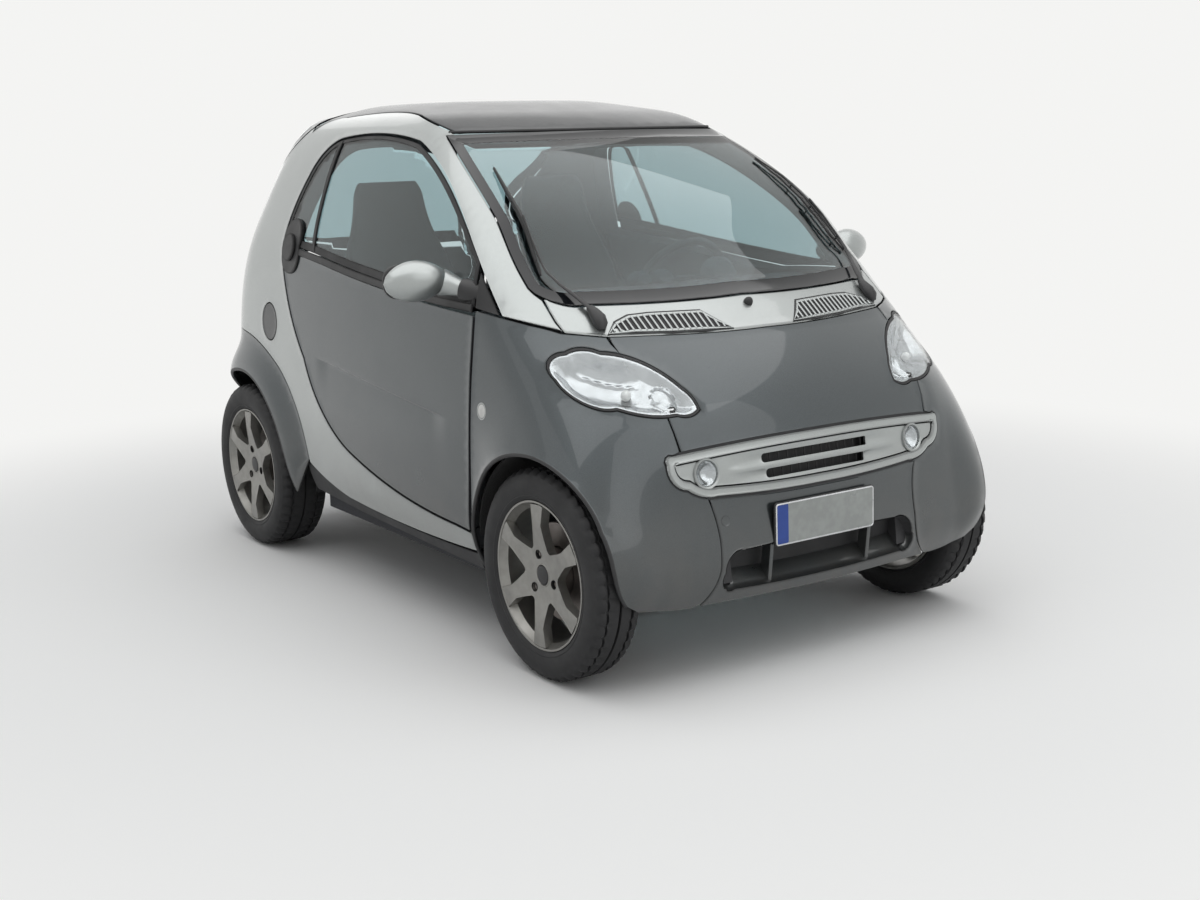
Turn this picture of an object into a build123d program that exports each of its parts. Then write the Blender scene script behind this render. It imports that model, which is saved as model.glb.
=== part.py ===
"""Two-seat rear-engined microcar, standing on its four wheels.

Millimetres.  +X is forward, +Y is the car's left, +Z is up.  The origin is on
the ground under the middle of the car.  The body is one smooth form, lofted
through horizontal sections, and each panel is the part of that form which lies
inside its own outline, as thick as the real panel, door or wall.
"""
from build123d import *
from math import atan2, cos, degrees, hypot, radians, sin
import os

os.makedirs("parts", exist_ok=True)

# ---------------------------------------------------------------- driving sizes
WHEELBASE = 1812
FRONT_AXLE_X = 905
REAR_AXLE_X = FRONT_AXLE_X - WHEELBASE

# Panel depths, measured inward from the outer form
SKIN = 25            # fenders, bonnet, bumpers, roof
WALL = 75            # doors and the safety cell around them
PANE = 6             # glass
LAMP_DEPTH = 60
EDGE_SKIN = 4        # the fender's thin rear edge, which the door swings behind
RAISED = 8           # handles, wipers and lamp rings stand this far proud

# Clearances
DOOR_GAP = 6         # around doors, hatch and tailgate
RUNNING_GAP = 0.3    # between a pin and its bore
SLIP = 0.3           # between curved faces on one body

# Wheels: tyre radius, tyre width, wheel middle from the car's centre line
FRONT_TYRE = dict(radius=284.5, width=145, middle=637)
REAR_TYRE = dict(radius=286.5, width=175, middle=654)
RIM_RADIUS = 207
RIM_WALL = 12
SPOKE_COUNT = 6
BOLT_COUNT, BOLT_CIRCLE, BOLT_RADIUS, BOLT_DEPTH = 3, 112, 12, 14
SPOKE_WIDTH = 40
HUB_RADIUS = 68
SPINDLE_RADIUS = 13
BRAKE_DISC_RADIUS = 140

# Wheel arches: lip radius and how far the flare stands out and back
FRONT_ARCH_RADIUS = 330
REAR_ARCH_RADIUS = 345
FLARE_BAND = 40
FLARE = 34
FLARE_FOOT = 230
LINER_WALL = 4
LINER_INNER_Y = 395
REAR_LINER_INNER_Y = 520
LINER_OUTER_Y = 700

# Body form, one row per horizontal section, from the ground up:
# height, nose, tail, half width, bow of nose, of side and of tail,
# corner radius at the front and at the rear
BODY_SECTIONS = [
    (200, 1220, -1190, 655, 40, 30, 50, 150, 220),
    (300, 1240, -1230, 700, 30, 30, 55, 145, 230),
    (450, 1222, -1244, 722, 45, 30, 60, 175, 240),
    (720, 1156, -1238, 726, 80, 30, 72, 305, 275),
    (945, 918, -1206, 710, 105, 28, 88, 265, 265),
    (1060, 778, -1175, 694, 125, 28, 105, 150, 280),
    (1200, 625, -1132, 648, 105, 28, 122, 100, 285),
    (1430, 246, -1021, 527, 110, 28, 118, 120, 230),
    (1480, 80, -930, 434, 95, 25, 98, 150, 215),
    (1510, -120, -778, 312, 90, 22, 75, 160, 190),
]

# Seams seen from the side: x and z of the start, then one leg per row, each a
# straight line (None) or an arc through its middle point, and its end
DOOR_OUTLINE = ((564, 338), [
    ((598, 560), (608, 780)),
    ((609, 870), (605, 956)),
    ((600, 1020), (590, 1081)),
    ((330, 1275), (72, 1390)),
    ((-190, 1416), (-405, 1406)),
    ((-500, 1370), (-560, 1290)),
    ((-598, 1190), (-618, 1060)),
    ((-548, 885), (-428, 721)),
    ((-318, 568), (-147, 460)),
    ((110, 392), (486, 345)),
])
BELT_LINE = ((700, 955), [((100, 988), (-300, 1035)), (None, (-700, 1080))])
ROOF_SEAM = ((420, 1424), [
    (None, (150, 1424)),
    ((60, 1446), (-80, 1471)),
    ((-300, 1484), (-560, 1474)),
    ((-650, 1462), (-706, 1430)),
    (None, (-714, 1400)),
])
WINDSCREEN_FOOT = ((757, 992), (1020, 916))
WINDSCREEN_SIDE = ((757, 992), (490, 1238), (180, 1412))
FRONT_SEAM = ((573, 180), [
    ((606, 560), (616, 780)),
    ((617, 870), (613, 957)),
    ((690, 950), (755, 944)),
    ((870, 908), (990, 881)),
    (None, (1330, 822)),
])
REAR_SEAM = ((-456, 180), [
    (None, (-456, 388)),
    ((-528, 555), (-651, 667)),
    ((-850, 742), (-1110, 758)),
    ((-1150, 745), (-1160, 690)),
    (None, (-1168, 600)),
    (None, (-1330, 600)),
])
SILL_SEAM = ((573, 277), [
    ((130, 272), (-200, 290)),
    ((-330, 320), (-456, 366)),
])
HATCH_EDGE = ((-724, 1446), [
    ((-880, 1325), (-1020, 1215)),
    ((-1092, 1128), (-1150, 1010)),
])
HATCH_FOOT_Z = 1000
TAILGATE = dict(foot=790, head=990, half_width=430)

# Seams seen from the front: y and z
HOOD_SEAM = [(-494, 950), (-489, 880), (-446, 707), (-434, 600)]
BUMPER_SEAM = [(-372, 510), (-351, 400), (-362, 280), (-420, 180)]
GRILLE_OUTLINE = ((0, 632), [
    ((-250, 628), (-462, 616)),
    ((-482, 612), (-484, 592)),
    ((-474, 550), (-430, 523)),
    ((-395, 504), (-340, 498)),
    ((-180, 490), (0, 488)),
])
GRILLE_SLOT = dict(z=562, width=540, height=56, corner=18, blade=14)
INTAKE = dict(foot=240, head=356, half_width=335, corner=20)
INTAKE_FIN = dict(count=2, pitch=250, width=24, depth=30)

# Lamps: round ones have a centre in their view and a radius
HEADLAMP_OUTLINE = ((-648, 797), [
    ((-642, 842), (-602, 864)),
    ((-565, 874), (-527, 864)),
    ((-440, 838), (-369, 773)),
    ((-350, 745), (-346, 716)),
    ((-372, 704), (-418, 707)),
    ((-495, 711), (-560, 730)),
    ((-628, 750), (-648, 797)),
])
GRILLE_LAMP = dict(y=366, z=559, radius=45)
REPEATER = dict(x=675, z=694, radius=23)
TAIL_LAMP = dict(y=560, foot=672, pitch=124, count=3, radius=50)

PLATE_FRONT = dict(x=1232, z=402, width=352, height=112)
PLATE_REAR = dict(x=-1252, z=520, width=352, height=112)

# Hinges: the line each lid or door turns about
DOOR_HINGE = dict(x=560, y=690, radius=5, foot=300, head=395)
HINGE_SWEEP = 66     # reach of the door's front edge about its hinge
HINGE_ROOM_FOOT, HINGE_ROOM_HEAD = 332, 945
HATCH_HINGE = dict(x=-719, z=1513, leaf=(-19, -10), fixed_leaf=(19, -10))
TAILGATE_HINGE = dict(x=-1238, z=790, leaf=(36, 9), fixed_leaf=(30, -9))
HINGE_SPREAD = 230   # of the two hinges of a lid, from the centre line
BARREL_RADIUS = 5
BARREL_LENGTH = 36
HINGE_PIN_RADIUS = 2.5
LEAF_THICKNESS = 5
FUEL_FLAP = dict(x=-715, z=812, radius=62)
FUEL_HINGE = dict(x=-650.5, y=-711, radius=2.5, length=56)

# Inside
FLOOR = dict(foot=205, top=285, front=640, rear=-470, half_width=640)
CARGO_FLOOR = dict(foot=700, top=725, rear=-1150, riser=30)
BULKHEAD = dict(x=640, wall=14, foot=285, head=930, half_width=375)
DASHBOARD = [(640, 930), (560, 945), (380, 912), (318, 842), (345, 770), (430, 700), (640, 700)]
DASHBOARD_HALF = 548
SEAT = dict(middle=330, width=480, cushion_front=70, cushion_rear=-400,
            foot=285, top=520, back_top=1120, back_depth=110, head_top=1270)
STEERING = dict(x=190, y=330, z=905, tilt=25, radius=185, rim=15, column=150)

# Running gear
KINGPIN_Y = 545
STRUT_RADIUS = 15
UPRIGHT = dict(length=44, width=34, foot=165, head=450)
RAIL = dict(y=330, width=60, foot=265, head=345, front=1210)
AXLE_TUBE_RADIUS = 28
SPRING = dict(y=430, radius=45)
ENGINE = dict(front=-560, rear=-1080, half_width=300, foot=330)
SILENCER = dict(rear=-1185, half_width=230, foot=240, head=420)

REACH = 2000         # longer than the car in any direction
FRONT_HUB = (FRONT_AXLE_X, -FRONT_TYRE["middle"], FRONT_TYRE["radius"])
REAR_HUB = (REAR_AXLE_X, -REAR_TYRE["middle"], REAR_TYRE["radius"])


# ---------------------------------------------------------------- body form
def plan_section(row, depth):
    """One horizontal section of the body, moved inward by depth."""
    height, nose, tail, half, nose_bow, side_bow, tail_bow, front_radius, rear_radius = row
    nose, tail, half = nose - depth, tail + depth, half - depth
    middle = (nose + tail) / 2
    front, rear, side = nose - nose_bow, tail + tail_bow, half - side_bow
    with BuildSketch(Plane.XY.offset(height - depth)) as section:
        with BuildLine():
            ThreePointArc((front, -side), (nose, 0), (front, side))
            ThreePointArc((front, side), (middle, half), (rear, side))
            ThreePointArc((rear, side), (tail, 0), (rear, -side))
            ThreePointArc((rear, -side), (middle, -half), (front, -side))
        make_face()
        fillet(section.vertices().group_by(Axis.X)[-1], front_radius)
        fillet(section.vertices().group_by(Axis.X)[0], rear_radius)
    return section.sketch.faces()[0]


def body_form(depth):
    """The whole body as one solid, moved inward by depth."""
    with BuildPart() as form:
        loft([plan_section(row, depth) for row in BODY_SECTIONS])
    return form.part


OUTER = body_form(0)
UNDER_SKIN = body_form(SKIN)
UNDER_WALL = body_form(WALL)
UNDER_PANE = body_form(PANE)
UNDER_LAMP = body_form(LAMP_DEPTH)
UNDER_EDGE = body_form(EDGE_SKIN)
CABIN = body_form(WALL + SLIP)
PROUD = body_form(-RAISED)
FLARED = body_form(-FLARE)


# ---------------------------------------------------------------- outlines
def region(plane, start, legs, corners=()):
    """Face bounded by a seam and then by straight lines through corners."""
    with BuildSketch(plane) as face:
        with BuildLine():
            here = start
            for middle, end in [*legs, *[(None, corner) for corner in corners], (None, start)]:
                if here == end:
                    continue
                if middle is None:
                    Line(here, end)
                else:
                    ThreePointArc(here, middle, end)
                here = end
        make_face()
    return face.sketch


def side_mask(start, legs, corners=()):
    """Region seen from the side, as a bar across the whole car."""
    with BuildPart() as mask:
        extrude(region(Plane.XZ, start, legs, corners), amount=REACH, both=True)
    return mask.part


def front_mask(points, front=REACH, rear=500):
    """Symmetric region seen from the front, as a bar along the car."""
    mirrored = [(-y, z) for y, z in reversed(points)]
    with BuildSketch(Plane.YZ.offset(rear)) as face:
        with BuildLine():
            Polyline(*points, *mirrored, close=True)
        make_face()
    with BuildPart() as mask:
        extrude(face.sketch, amount=front - rear)
    return mask.part


def grown(points_region, amount):
    """A side region made larger all round by amount, as a bar across the car."""
    with BuildSketch(Plane.XZ) as face:
        add(points_region)
        offset(amount=amount)
    with BuildPart() as mask:
        extrude(face.sketch, amount=REACH, both=True)
    return mask.part


LOW, HIGH, AHEAD, BEHIND = 100, 1700, 1330, -1330
door_region = region(Plane.XZ, *DOOR_OUTLINE)
DOOR_MASK = side_mask(*DOOR_OUTLINE)
DOORWAY_MASK = grown(door_region, DOOR_GAP)
ABOVE_BELT = side_mask(*BELT_LINE, [(-700, HIGH), (700, HIGH)])
ROOF_MASK = side_mask(*ROOF_SEAM, [(-714, HIGH), (420, HIGH)])
WINDSCREEN_MASK = side_mask(
    WINDSCREEN_FOOT[1], [(None, WINDSCREEN_FOOT[0]), WINDSCREEN_SIDE[1:], (None, (150, 1424))],
    [(AHEAD, 1424)])
FRONT_MASK = side_mask(*FRONT_SEAM, [(AHEAD, LOW), (573, LOW)])
COWL_MASK = side_mask(
    WINDSCREEN_FOOT[0], [(None, (755, 944)), ((870, 908), (990, 881)), (None, (1330, 822))],
    [(AHEAD, WINDSCREEN_FOOT[1][1]), WINDSCREEN_FOOT[1]])
CORNER_MASK = side_mask(
    (613, 957), [((690, 950), (755, 944)), (None, (598, 1080))])
REAR_MASK = side_mask(*REAR_SEAM, [(BEHIND, LOW), (-456, LOW)])
SILL_MASK = side_mask(*SILL_SEAM, [(-456, LOW), (573, LOW)])
HATCH_MASK = side_mask(*HATCH_EDGE, [(-1150, HATCH_FOOT_Z), (BEHIND, HATCH_FOOT_Z),
                                     (BEHIND, HIGH), (-724, HIGH)])
HATCHWAY_MASK = side_mask((-714, 1446), [((-874, 1317), (-1012, 1209)), ((-1084, 1124), (-1142, 1008))],
                          [(-1142, HATCH_FOOT_Z - DOOR_GAP), (BEHIND, HATCH_FOOT_Z - DOOR_GAP),
                           (BEHIND, HIGH), (-714, HIGH)])
HOOD_MASK = front_mask(HOOD_SEAM)
BUMPER_MASK = front_mask(BUMPER_SEAM)


def symmetric(start, legs):
    """A closed symmetric seam from its right-hand half, which ends on the centre line."""
    ends = [start, *[leg[1] for leg in legs]]
    other = [(middle and (-middle[0], middle[1]), (-ends[number][0], ends[number][1]))
             for number, (middle, _) in reversed(list(enumerate(legs)))]
    return start, [*legs, *other]


with BuildPart() as grille_bar:
    extrude(region(Plane.YZ.offset(900), *symmetric(*GRILLE_OUTLINE)), amount=REACH - 900)

with BuildPart() as headlamp_bar:
    extrude(region(Plane.YZ.offset(700), *HEADLAMP_OUTLINE), amount=REACH - 700)

with BuildPart() as grille_lamp_bar:
    with BuildSketch(Plane.YZ.offset(900)):
        with Locations((GRILLE_LAMP["y"], GRILLE_LAMP["z"]), (-GRILLE_LAMP["y"], GRILLE_LAMP["z"])):
            Circle(GRILLE_LAMP["radius"])
    extrude(amount=REACH - 900)

with BuildPart() as repeater_bar:
    with BuildSketch(Plane.XZ.offset(500)):
        with Locations((REPEATER["x"], REPEATER["z"])):
            Circle(REPEATER["radius"])
    extrude(amount=REACH - 500)

with BuildPart() as tail_lamp_bar:
    with BuildSketch(Plane.YZ.offset(-900)):
        for number in range(TAIL_LAMP["count"]):
            with Locations((-TAIL_LAMP["y"], TAIL_LAMP["foot"] + number * TAIL_LAMP["pitch"])):
                Circle(TAIL_LAMP["radius"])
    extrude(amount=-REACH + 900)


def axle_bar(axle_x, height, radius):
    """A round bar across the car about an axle line."""
    with BuildPart() as bar:
        with BuildSketch(Plane.XZ):
            with Locations((axle_x, height)):
                Circle(radius)
        extrude(amount=REACH, both=True)
    return bar.part


FRONT_ARCH = axle_bar(FRONT_AXLE_X, FRONT_TYRE["radius"], FRONT_ARCH_RADIUS)
REAR_ARCH = axle_bar(REAR_AXLE_X, REAR_TYRE["radius"], REAR_ARCH_RADIUS)


def block(x_span, y_span, z_span):
    """A plain box between two values on each axis."""
    with BuildPart() as box:
        with Locations(((x_span[0] + x_span[1]) / 2, (y_span[0] + y_span[1]) / 2,
                        (z_span[0] + z_span[1]) / 2)):
            Box(abs(x_span[1] - x_span[0]), abs(y_span[1] - y_span[0]), abs(z_span[1] - z_span[0]))
    return box.part


with BuildPart() as right_outer:
    add(OUTER)
    add(block((-REACH, REACH), (-REACH, 0), (-REACH, REACH)), mode=Mode.INTERSECT)
RIGHT_OUTER = right_outer.part
with BuildPart() as right_proud:
    add(PROUD)
    add(block((-REACH, REACH), (-REACH, 0), (-REACH, REACH)), mode=Mode.INTERSECT)
RIGHT_PROUD = right_proud.part


def mirrored(piece, name):
    """The same piece on the car's left, under its own name."""
    with BuildPart() as twin:
        mirror(piece, about=Plane.XZ)
    twin.part.label = name
    return twin.part


def save(piece, name):
    """Write one finished piece as its own STEP file."""
    piece.label = name
    export_step(piece, f"parts/{name}.step")


def save_pair(piece, name):
    """Write a right-hand piece and its mirror image."""
    save(piece, f"{name}_right")
    save(mirrored(piece, f"{name}_left"), f"{name}_left")


def hinge_half(hinge, leaf, near, far, bored):
    """Barrel and leaf of both of a lid's hinges, on a line across the car.

    leaf is how far the leaf reaches from the hinge line along X and Z.  near and
    far are its ends, counted outward from the hinge's own place.
    """
    reach_x, reach_z = leaf
    edge = reach_z + LEAF_THICKNESS * (1 if reach_z < 0 else -1)
    with BuildPart() as half:
        for side in (-1, 1):
            ends = (side * (HINGE_SPREAD + near), side * (HINGE_SPREAD + far))
            add(block((hinge["x"], hinge["x"] + reach_x), ends,
                      (hinge["z"] + edge, hinge["z"] + reach_z)))
            with Locations((hinge["x"], sum(ends) / 2, hinge["z"])):
                Cylinder(BARREL_RADIUS, abs(far - near), rotation=(90, 0, 0))
                if bored:
                    Cylinder(HINGE_PIN_RADIUS + RUNNING_GAP, 2 * BARREL_LENGTH,
                             rotation=(90, 0, 0), mode=Mode.SUBTRACT)
            if not bored:
                with Locations((hinge["x"], side * (HINGE_SPREAD + BARREL_LENGTH), hinge["z"])):
                    Cylinder(HINGE_PIN_RADIUS, BARREL_LENGTH, rotation=(90, 0, 0))
    return half.part


# ---------------------------------------------------------------- doors
with BuildPart() as door_panel:
    add(RIGHT_OUTER)
    add(DOOR_MASK, mode=Mode.INTERSECT)
    add(UNDER_WALL, mode=Mode.SUBTRACT)
    add(ABOVE_BELT, mode=Mode.SUBTRACT)
    with Locations((DOOR_HINGE["x"], -DOOR_HINGE["y"], DOOR_HINGE["foot"])):
        Cylinder(DOOR_HINGE["radius"] + RUNNING_GAP,
                 DOOR_HINGE["head"] + RUNNING_GAP - DOOR_HINGE["foot"],
                 align=(Align.CENTER, Align.CENTER, Align.MIN), mode=Mode.SUBTRACT)
save_pair(door_panel.part, "door_panel")

with BuildPart() as door_glass:
    add(RIGHT_OUTER)
    add(DOOR_MASK, mode=Mode.INTERSECT)
    add(ABOVE_BELT, mode=Mode.INTERSECT)
    add(UNDER_PANE, mode=Mode.SUBTRACT)
save_pair(door_glass.part, "door_glass")

DIVISION_BAR = ((-366, 1062), [(None, (-409, 1400)), (None, (-429, 1398)), (None, (-386, 1064))])
HANDLE = ((-480, 1070), [((-490, 1140), (-545, 1160)), ((-600, 1140), (-608, 1070)),
                         ((-600, 1000), (-545, 978)), ((-490, 1000), (-480, 1070))])
with BuildPart() as door_trim:
    add(RIGHT_PROUD)
    with BuildSketch(Plane.XZ):
        add(region(Plane.XY, *HANDLE))
        add(region(Plane.XY, *DIVISION_BAR))
    extrude(amount=REACH, mode=Mode.INTERSECT)
    add(OUTER, mode=Mode.SUBTRACT)
save_pair(door_trim.part, "door_trim")

MIRROR = dict(x=485, y=-795, z=1030, length=95, width=190, height=125, arm=26)
with BuildPart() as mirror_housing:
    with Locations((MIRROR["x"], MIRROR["y"], MIRROR["z"])):
        Box(MIRROR["length"], MIRROR["width"], MIRROR["height"])
    fillet(mirror_housing.edges().filter_by(Axis.X), MIRROR["height"] * 0.4)
    fillet(mirror_housing.faces().sort_by(Axis.X)[-1].edges(), MIRROR["length"] * 0.4)
    with BuildSketch(Plane.XZ.offset(600)):
        with Locations((MIRROR["x"] + MIRROR["arm"], MIRROR["z"])):
            Circle(MIRROR["arm"])
    extrude(amount=-MIRROR["y"] - 600)
    add(OUTER, mode=Mode.SUBTRACT)
save_pair(mirror_housing.part, "mirror")

# ---------------------------------------------------------------- safety cell
with BuildPart() as side_frame:
    add(RIGHT_OUTER)
    add(UNDER_WALL, mode=Mode.SUBTRACT)
    for mask in (DOORWAY_MASK, ROOF_MASK, WINDSCREEN_MASK, COWL_MASK, FRONT_MASK, CORNER_MASK,
                 REAR_MASK, SILL_MASK, HATCHWAY_MASK):
        add(mask, mode=Mode.SUBTRACT)
    add(block((BEHIND, -1100), (-TAILGATE["half_width"], REACH), (LOW, HIGH)), mode=Mode.SUBTRACT)
    add(tail_lamp_bar.part, mode=Mode.SUBTRACT)
    add(block((FLOOR["rear"], FLOOR["front"]), (-FLOOR["half_width"], 0), (FLOOR["foot"], FLOOR["top"])),
        mode=Mode.SUBTRACT)
    add(FRONT_ARCH, mode=Mode.SUBTRACT)
    with Locations((DOOR_HINGE["x"], -DOOR_HINGE["y"], HINGE_ROOM_FOOT)):
        Cylinder(HINGE_SWEEP, HINGE_ROOM_HEAD - HINGE_ROOM_FOOT,
                 align=(Align.CENTER, Align.CENTER, Align.MIN), mode=Mode.SUBTRACT)
    with Locations((DOOR_HINGE["x"], -DOOR_HINGE["y"], DOOR_HINGE["foot"])):
        Cylinder(DOOR_HINGE["radius"], DOOR_HINGE["head"] - DOOR_HINGE["foot"],
                 align=(Align.CENTER, Align.CENTER, Align.MIN))
# The seams ahead of the door also part off a strip that nothing carries
frame_body = side_frame.part.solids().sort_by(SortBy.VOLUME)[-1]
save(mirrored(frame_body, "side_frame_left"), "side_frame_left")

with BuildPart() as fuel_pocket:
    with BuildSketch(Plane.XZ.offset(LOW)):
        with Locations((FUEL_FLAP["x"], FUEL_FLAP["z"])):
            Circle(FUEL_FLAP["radius"] + DOOR_GAP)
    extrude(amount=REACH)
    add(UNDER_SKIN, mode=Mode.SUBTRACT)
with BuildPart() as fuel_side_frame:
    add(frame_body)
    add(fuel_pocket.part, mode=Mode.SUBTRACT)
    with Locations((FUEL_HINGE["x"], FUEL_HINGE["y"], FUEL_FLAP["z"])):
        Cylinder(FUEL_HINGE["radius"], FUEL_HINGE["length"])
save(fuel_side_frame.part, "side_frame_right")

with BuildPart() as cowl_panel:
    add(OUTER)
    add(COWL_MASK, mode=Mode.INTERSECT)
    add(UNDER_SKIN, mode=Mode.SUBTRACT)
    add(WINDSCREEN_MASK, mode=Mode.SUBTRACT)
save(cowl_panel.part, "cowl_panel")

with BuildPart() as pillar_corners:
    add(OUTER)
    add(CORNER_MASK, mode=Mode.INTERSECT)
    add(UNDER_SKIN, mode=Mode.SUBTRACT)
    add(DOORWAY_MASK, mode=Mode.SUBTRACT)
save(pillar_corners.part, "pillar_corners")

with BuildPart() as roof_panel:
    add(OUTER)
    add(ROOF_MASK, mode=Mode.INTERSECT)
    add(UNDER_SKIN, mode=Mode.SUBTRACT)
    add(hinge_half(HATCH_HINGE, HATCH_HINGE["fixed_leaf"], 0, BARREL_LENGTH, False))
save(roof_panel.part, "roof_panel")

with BuildPart() as windscreen:
    add(OUTER)
    add(WINDSCREEN_MASK, mode=Mode.INTERSECT)
    add(UNDER_PANE, mode=Mode.SUBTRACT)
    add(ROOF_MASK, mode=Mode.SUBTRACT)
save(windscreen.part, "windscreen")

# ---------------------------------------------------------------- outer panels
def arch_flare(axle_x, height, radius, panel_mask):
    """Band that follows the body around a wheel arch and stands out from it."""
    with BuildPart() as flare:
        with BuildSketch(Plane.XZ):
            with Locations((axle_x, height)):
                Circle(radius + FLARE_BAND)
                Circle(radius, mode=Mode.SUBTRACT)
        extrude(amount=REACH)
        add(block((-REACH, REACH), (-REACH, 0), (FLARE_FOOT, REACH)), mode=Mode.INTERSECT)
        add(panel_mask, mode=Mode.INTERSECT)
        add(FLARED, mode=Mode.INTERSECT)
        add(UNDER_EDGE, mode=Mode.SUBTRACT)
    return flare.part


with BuildPart() as hinge_room:
    with Locations((DOOR_HINGE["x"], -DOOR_HINGE["y"], LOW)):
        Cylinder(HINGE_SWEEP, HIGH - LOW, align=(Align.CENTER, Align.CENTER, Align.MIN))
    add(UNDER_EDGE, mode=Mode.INTERSECT)

with BuildPart() as front_fender:
    add(RIGHT_OUTER)
    add(FRONT_MASK, mode=Mode.INTERSECT)
    add(UNDER_SKIN, mode=Mode.SUBTRACT)
    for mask in (HOOD_MASK, BUMPER_MASK, grille_bar.part, headlamp_bar.part, repeater_bar.part,
                 DOORWAY_MASK, hinge_room.part):
        add(mask, mode=Mode.SUBTRACT)
    add(arch_flare(FRONT_AXLE_X, FRONT_TYRE["radius"], FRONT_ARCH_RADIUS, FRONT_MASK))
    for mask in (DOORWAY_MASK, BUMPER_MASK, grille_bar.part):
        add(mask, mode=Mode.SUBTRACT)
    add(FRONT_ARCH, mode=Mode.SUBTRACT)
save_pair(front_fender.part, "front_fender")

with BuildPart() as rear_fender:
    add(RIGHT_OUTER)
    add(REAR_MASK, mode=Mode.INTERSECT)
    add(UNDER_SKIN, mode=Mode.SUBTRACT)
    for mask in (block((BEHIND, -900), (-TAILGATE["half_width"], REACH), (LOW, HIGH)),
                 tail_lamp_bar.part):
        add(mask, mode=Mode.SUBTRACT)
    add(arch_flare(REAR_AXLE_X, REAR_TYRE["radius"], REAR_ARCH_RADIUS, REAR_MASK))
    add(block((BEHIND, -900), (-TAILGATE["half_width"], REACH), (LOW, HIGH)), mode=Mode.SUBTRACT)
    add(REAR_ARCH, mode=Mode.SUBTRACT)
save_pair(rear_fender.part, "rear_fender")

with BuildPart() as hood_panel:
    add(OUTER)
    add(FRONT_MASK, mode=Mode.INTERSECT)
    add(HOOD_MASK, mode=Mode.INTERSECT)
    add(UNDER_SKIN, mode=Mode.SUBTRACT)
    add(grille_bar.part, mode=Mode.SUBTRACT)
    add(headlamp_bar.part, mode=Mode.SUBTRACT)
    add(mirrored(headlamp_bar.part, "left"), mode=Mode.SUBTRACT)
save(hood_panel.part, "hood_panel")

with BuildPart() as front_bumper:
    add(OUTER)
    add(FRONT_MASK, mode=Mode.INTERSECT)
    add(BUMPER_MASK, mode=Mode.INTERSECT)
    add(UNDER_SKIN, mode=Mode.SUBTRACT)
    add(grille_bar.part, mode=Mode.SUBTRACT)
    with BuildSketch(Plane.YZ.offset(1000)):
        with Locations((0, (INTAKE["foot"] + INTAKE["head"]) / 2)):
            RectangleRounded(2 * INTAKE["half_width"], INTAKE["head"] - INTAKE["foot"], INTAKE["corner"])
            with GridLocations(INTAKE_FIN["pitch"], 0, INTAKE_FIN["count"], 1):
                Rectangle(INTAKE_FIN["width"], INTAKE["head"], mode=Mode.SUBTRACT)
    extrude(amount=1000, mode=Mode.SUBTRACT)
save(front_bumper.part, "front_bumper")

with BuildPart() as front_grille:
    add(OUTER)
    add(grille_bar.part, mode=Mode.INTERSECT)
    add(UNDER_SKIN, mode=Mode.SUBTRACT)
    add(grille_lamp_bar.part, mode=Mode.SUBTRACT)
    with BuildSketch(Plane.YZ.offset(1000)):
        with Locations((0, GRILLE_SLOT["z"])):
            RectangleRounded(GRILLE_SLOT["width"], GRILLE_SLOT["height"], GRILLE_SLOT["corner"])
            Rectangle(GRILLE_SLOT["width"], GRILLE_SLOT["blade"], mode=Mode.SUBTRACT)
    extrude(amount=1000, mode=Mode.SUBTRACT)
save(front_grille.part, "front_grille")

with BuildPart() as front_lamps:
    add(OUTER)
    add(grille_lamp_bar.part, mode=Mode.INTERSECT)
    add(UNDER_SKIN, mode=Mode.SUBTRACT)
with BuildPart() as headlamp:
    add(OUTER)
    add(headlamp_bar.part, mode=Mode.INTERSECT)
    add(UNDER_LAMP, mode=Mode.SUBTRACT)
with BuildPart() as repeater:
    add(OUTER)
    add(repeater_bar.part, mode=Mode.INTERSECT)
    add(UNDER_SKIN, mode=Mode.SUBTRACT)
with BuildPart() as all_front_lamps:
    for piece in (headlamp.part, repeater.part):
        add(piece)
        mirror(piece, about=Plane.XZ)
    add(front_lamps.part)
save(all_front_lamps.part, "front_lamps")

with BuildPart() as tail_lamp:
    add(PROUD)
    add(tail_lamp_bar.part, mode=Mode.INTERSECT)
    add(UNDER_LAMP, mode=Mode.SUBTRACT)
with BuildPart() as tail_lamps:
    add(tail_lamp.part)
    mirror(tail_lamp.part, about=Plane.XZ)
save(tail_lamps.part, "tail_lamps")

with BuildPart() as rear_panel:
    add(OUTER)
    add(block((BEHIND, -1100), [side * TAILGATE["half_width"] for side in (-1, 1)],
              (600, TAILGATE["foot"] - DOOR_GAP / 2)), mode=Mode.INTERSECT)
    add(UNDER_SKIN, mode=Mode.SUBTRACT)
    add(hinge_half(TAILGATE_HINGE, TAILGATE_HINGE["fixed_leaf"], 0, BARREL_LENGTH, False))
save(rear_panel.part, "rear_panel")

with BuildPart() as rear_bumper:
    add(OUTER)
    add(block((BEHIND, -900), [side * TAILGATE["half_width"] for side in (-1, 1)],
              (LOW, 600)), mode=Mode.INTERSECT)
    add(UNDER_SKIN, mode=Mode.SUBTRACT)
save(rear_bumper.part, "rear_bumper")

with BuildPart() as side_sill:
    add(RIGHT_OUTER)
    add(SILL_MASK, mode=Mode.INTERSECT)
    add(UNDER_SKIN, mode=Mode.SUBTRACT)
    add(FRONT_ARCH, mode=Mode.SUBTRACT)
with BuildPart() as side_sills:
    add(side_sill.part)
    mirror(side_sill.part, about=Plane.XZ)
save(side_sills.part, "side_sills")

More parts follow.
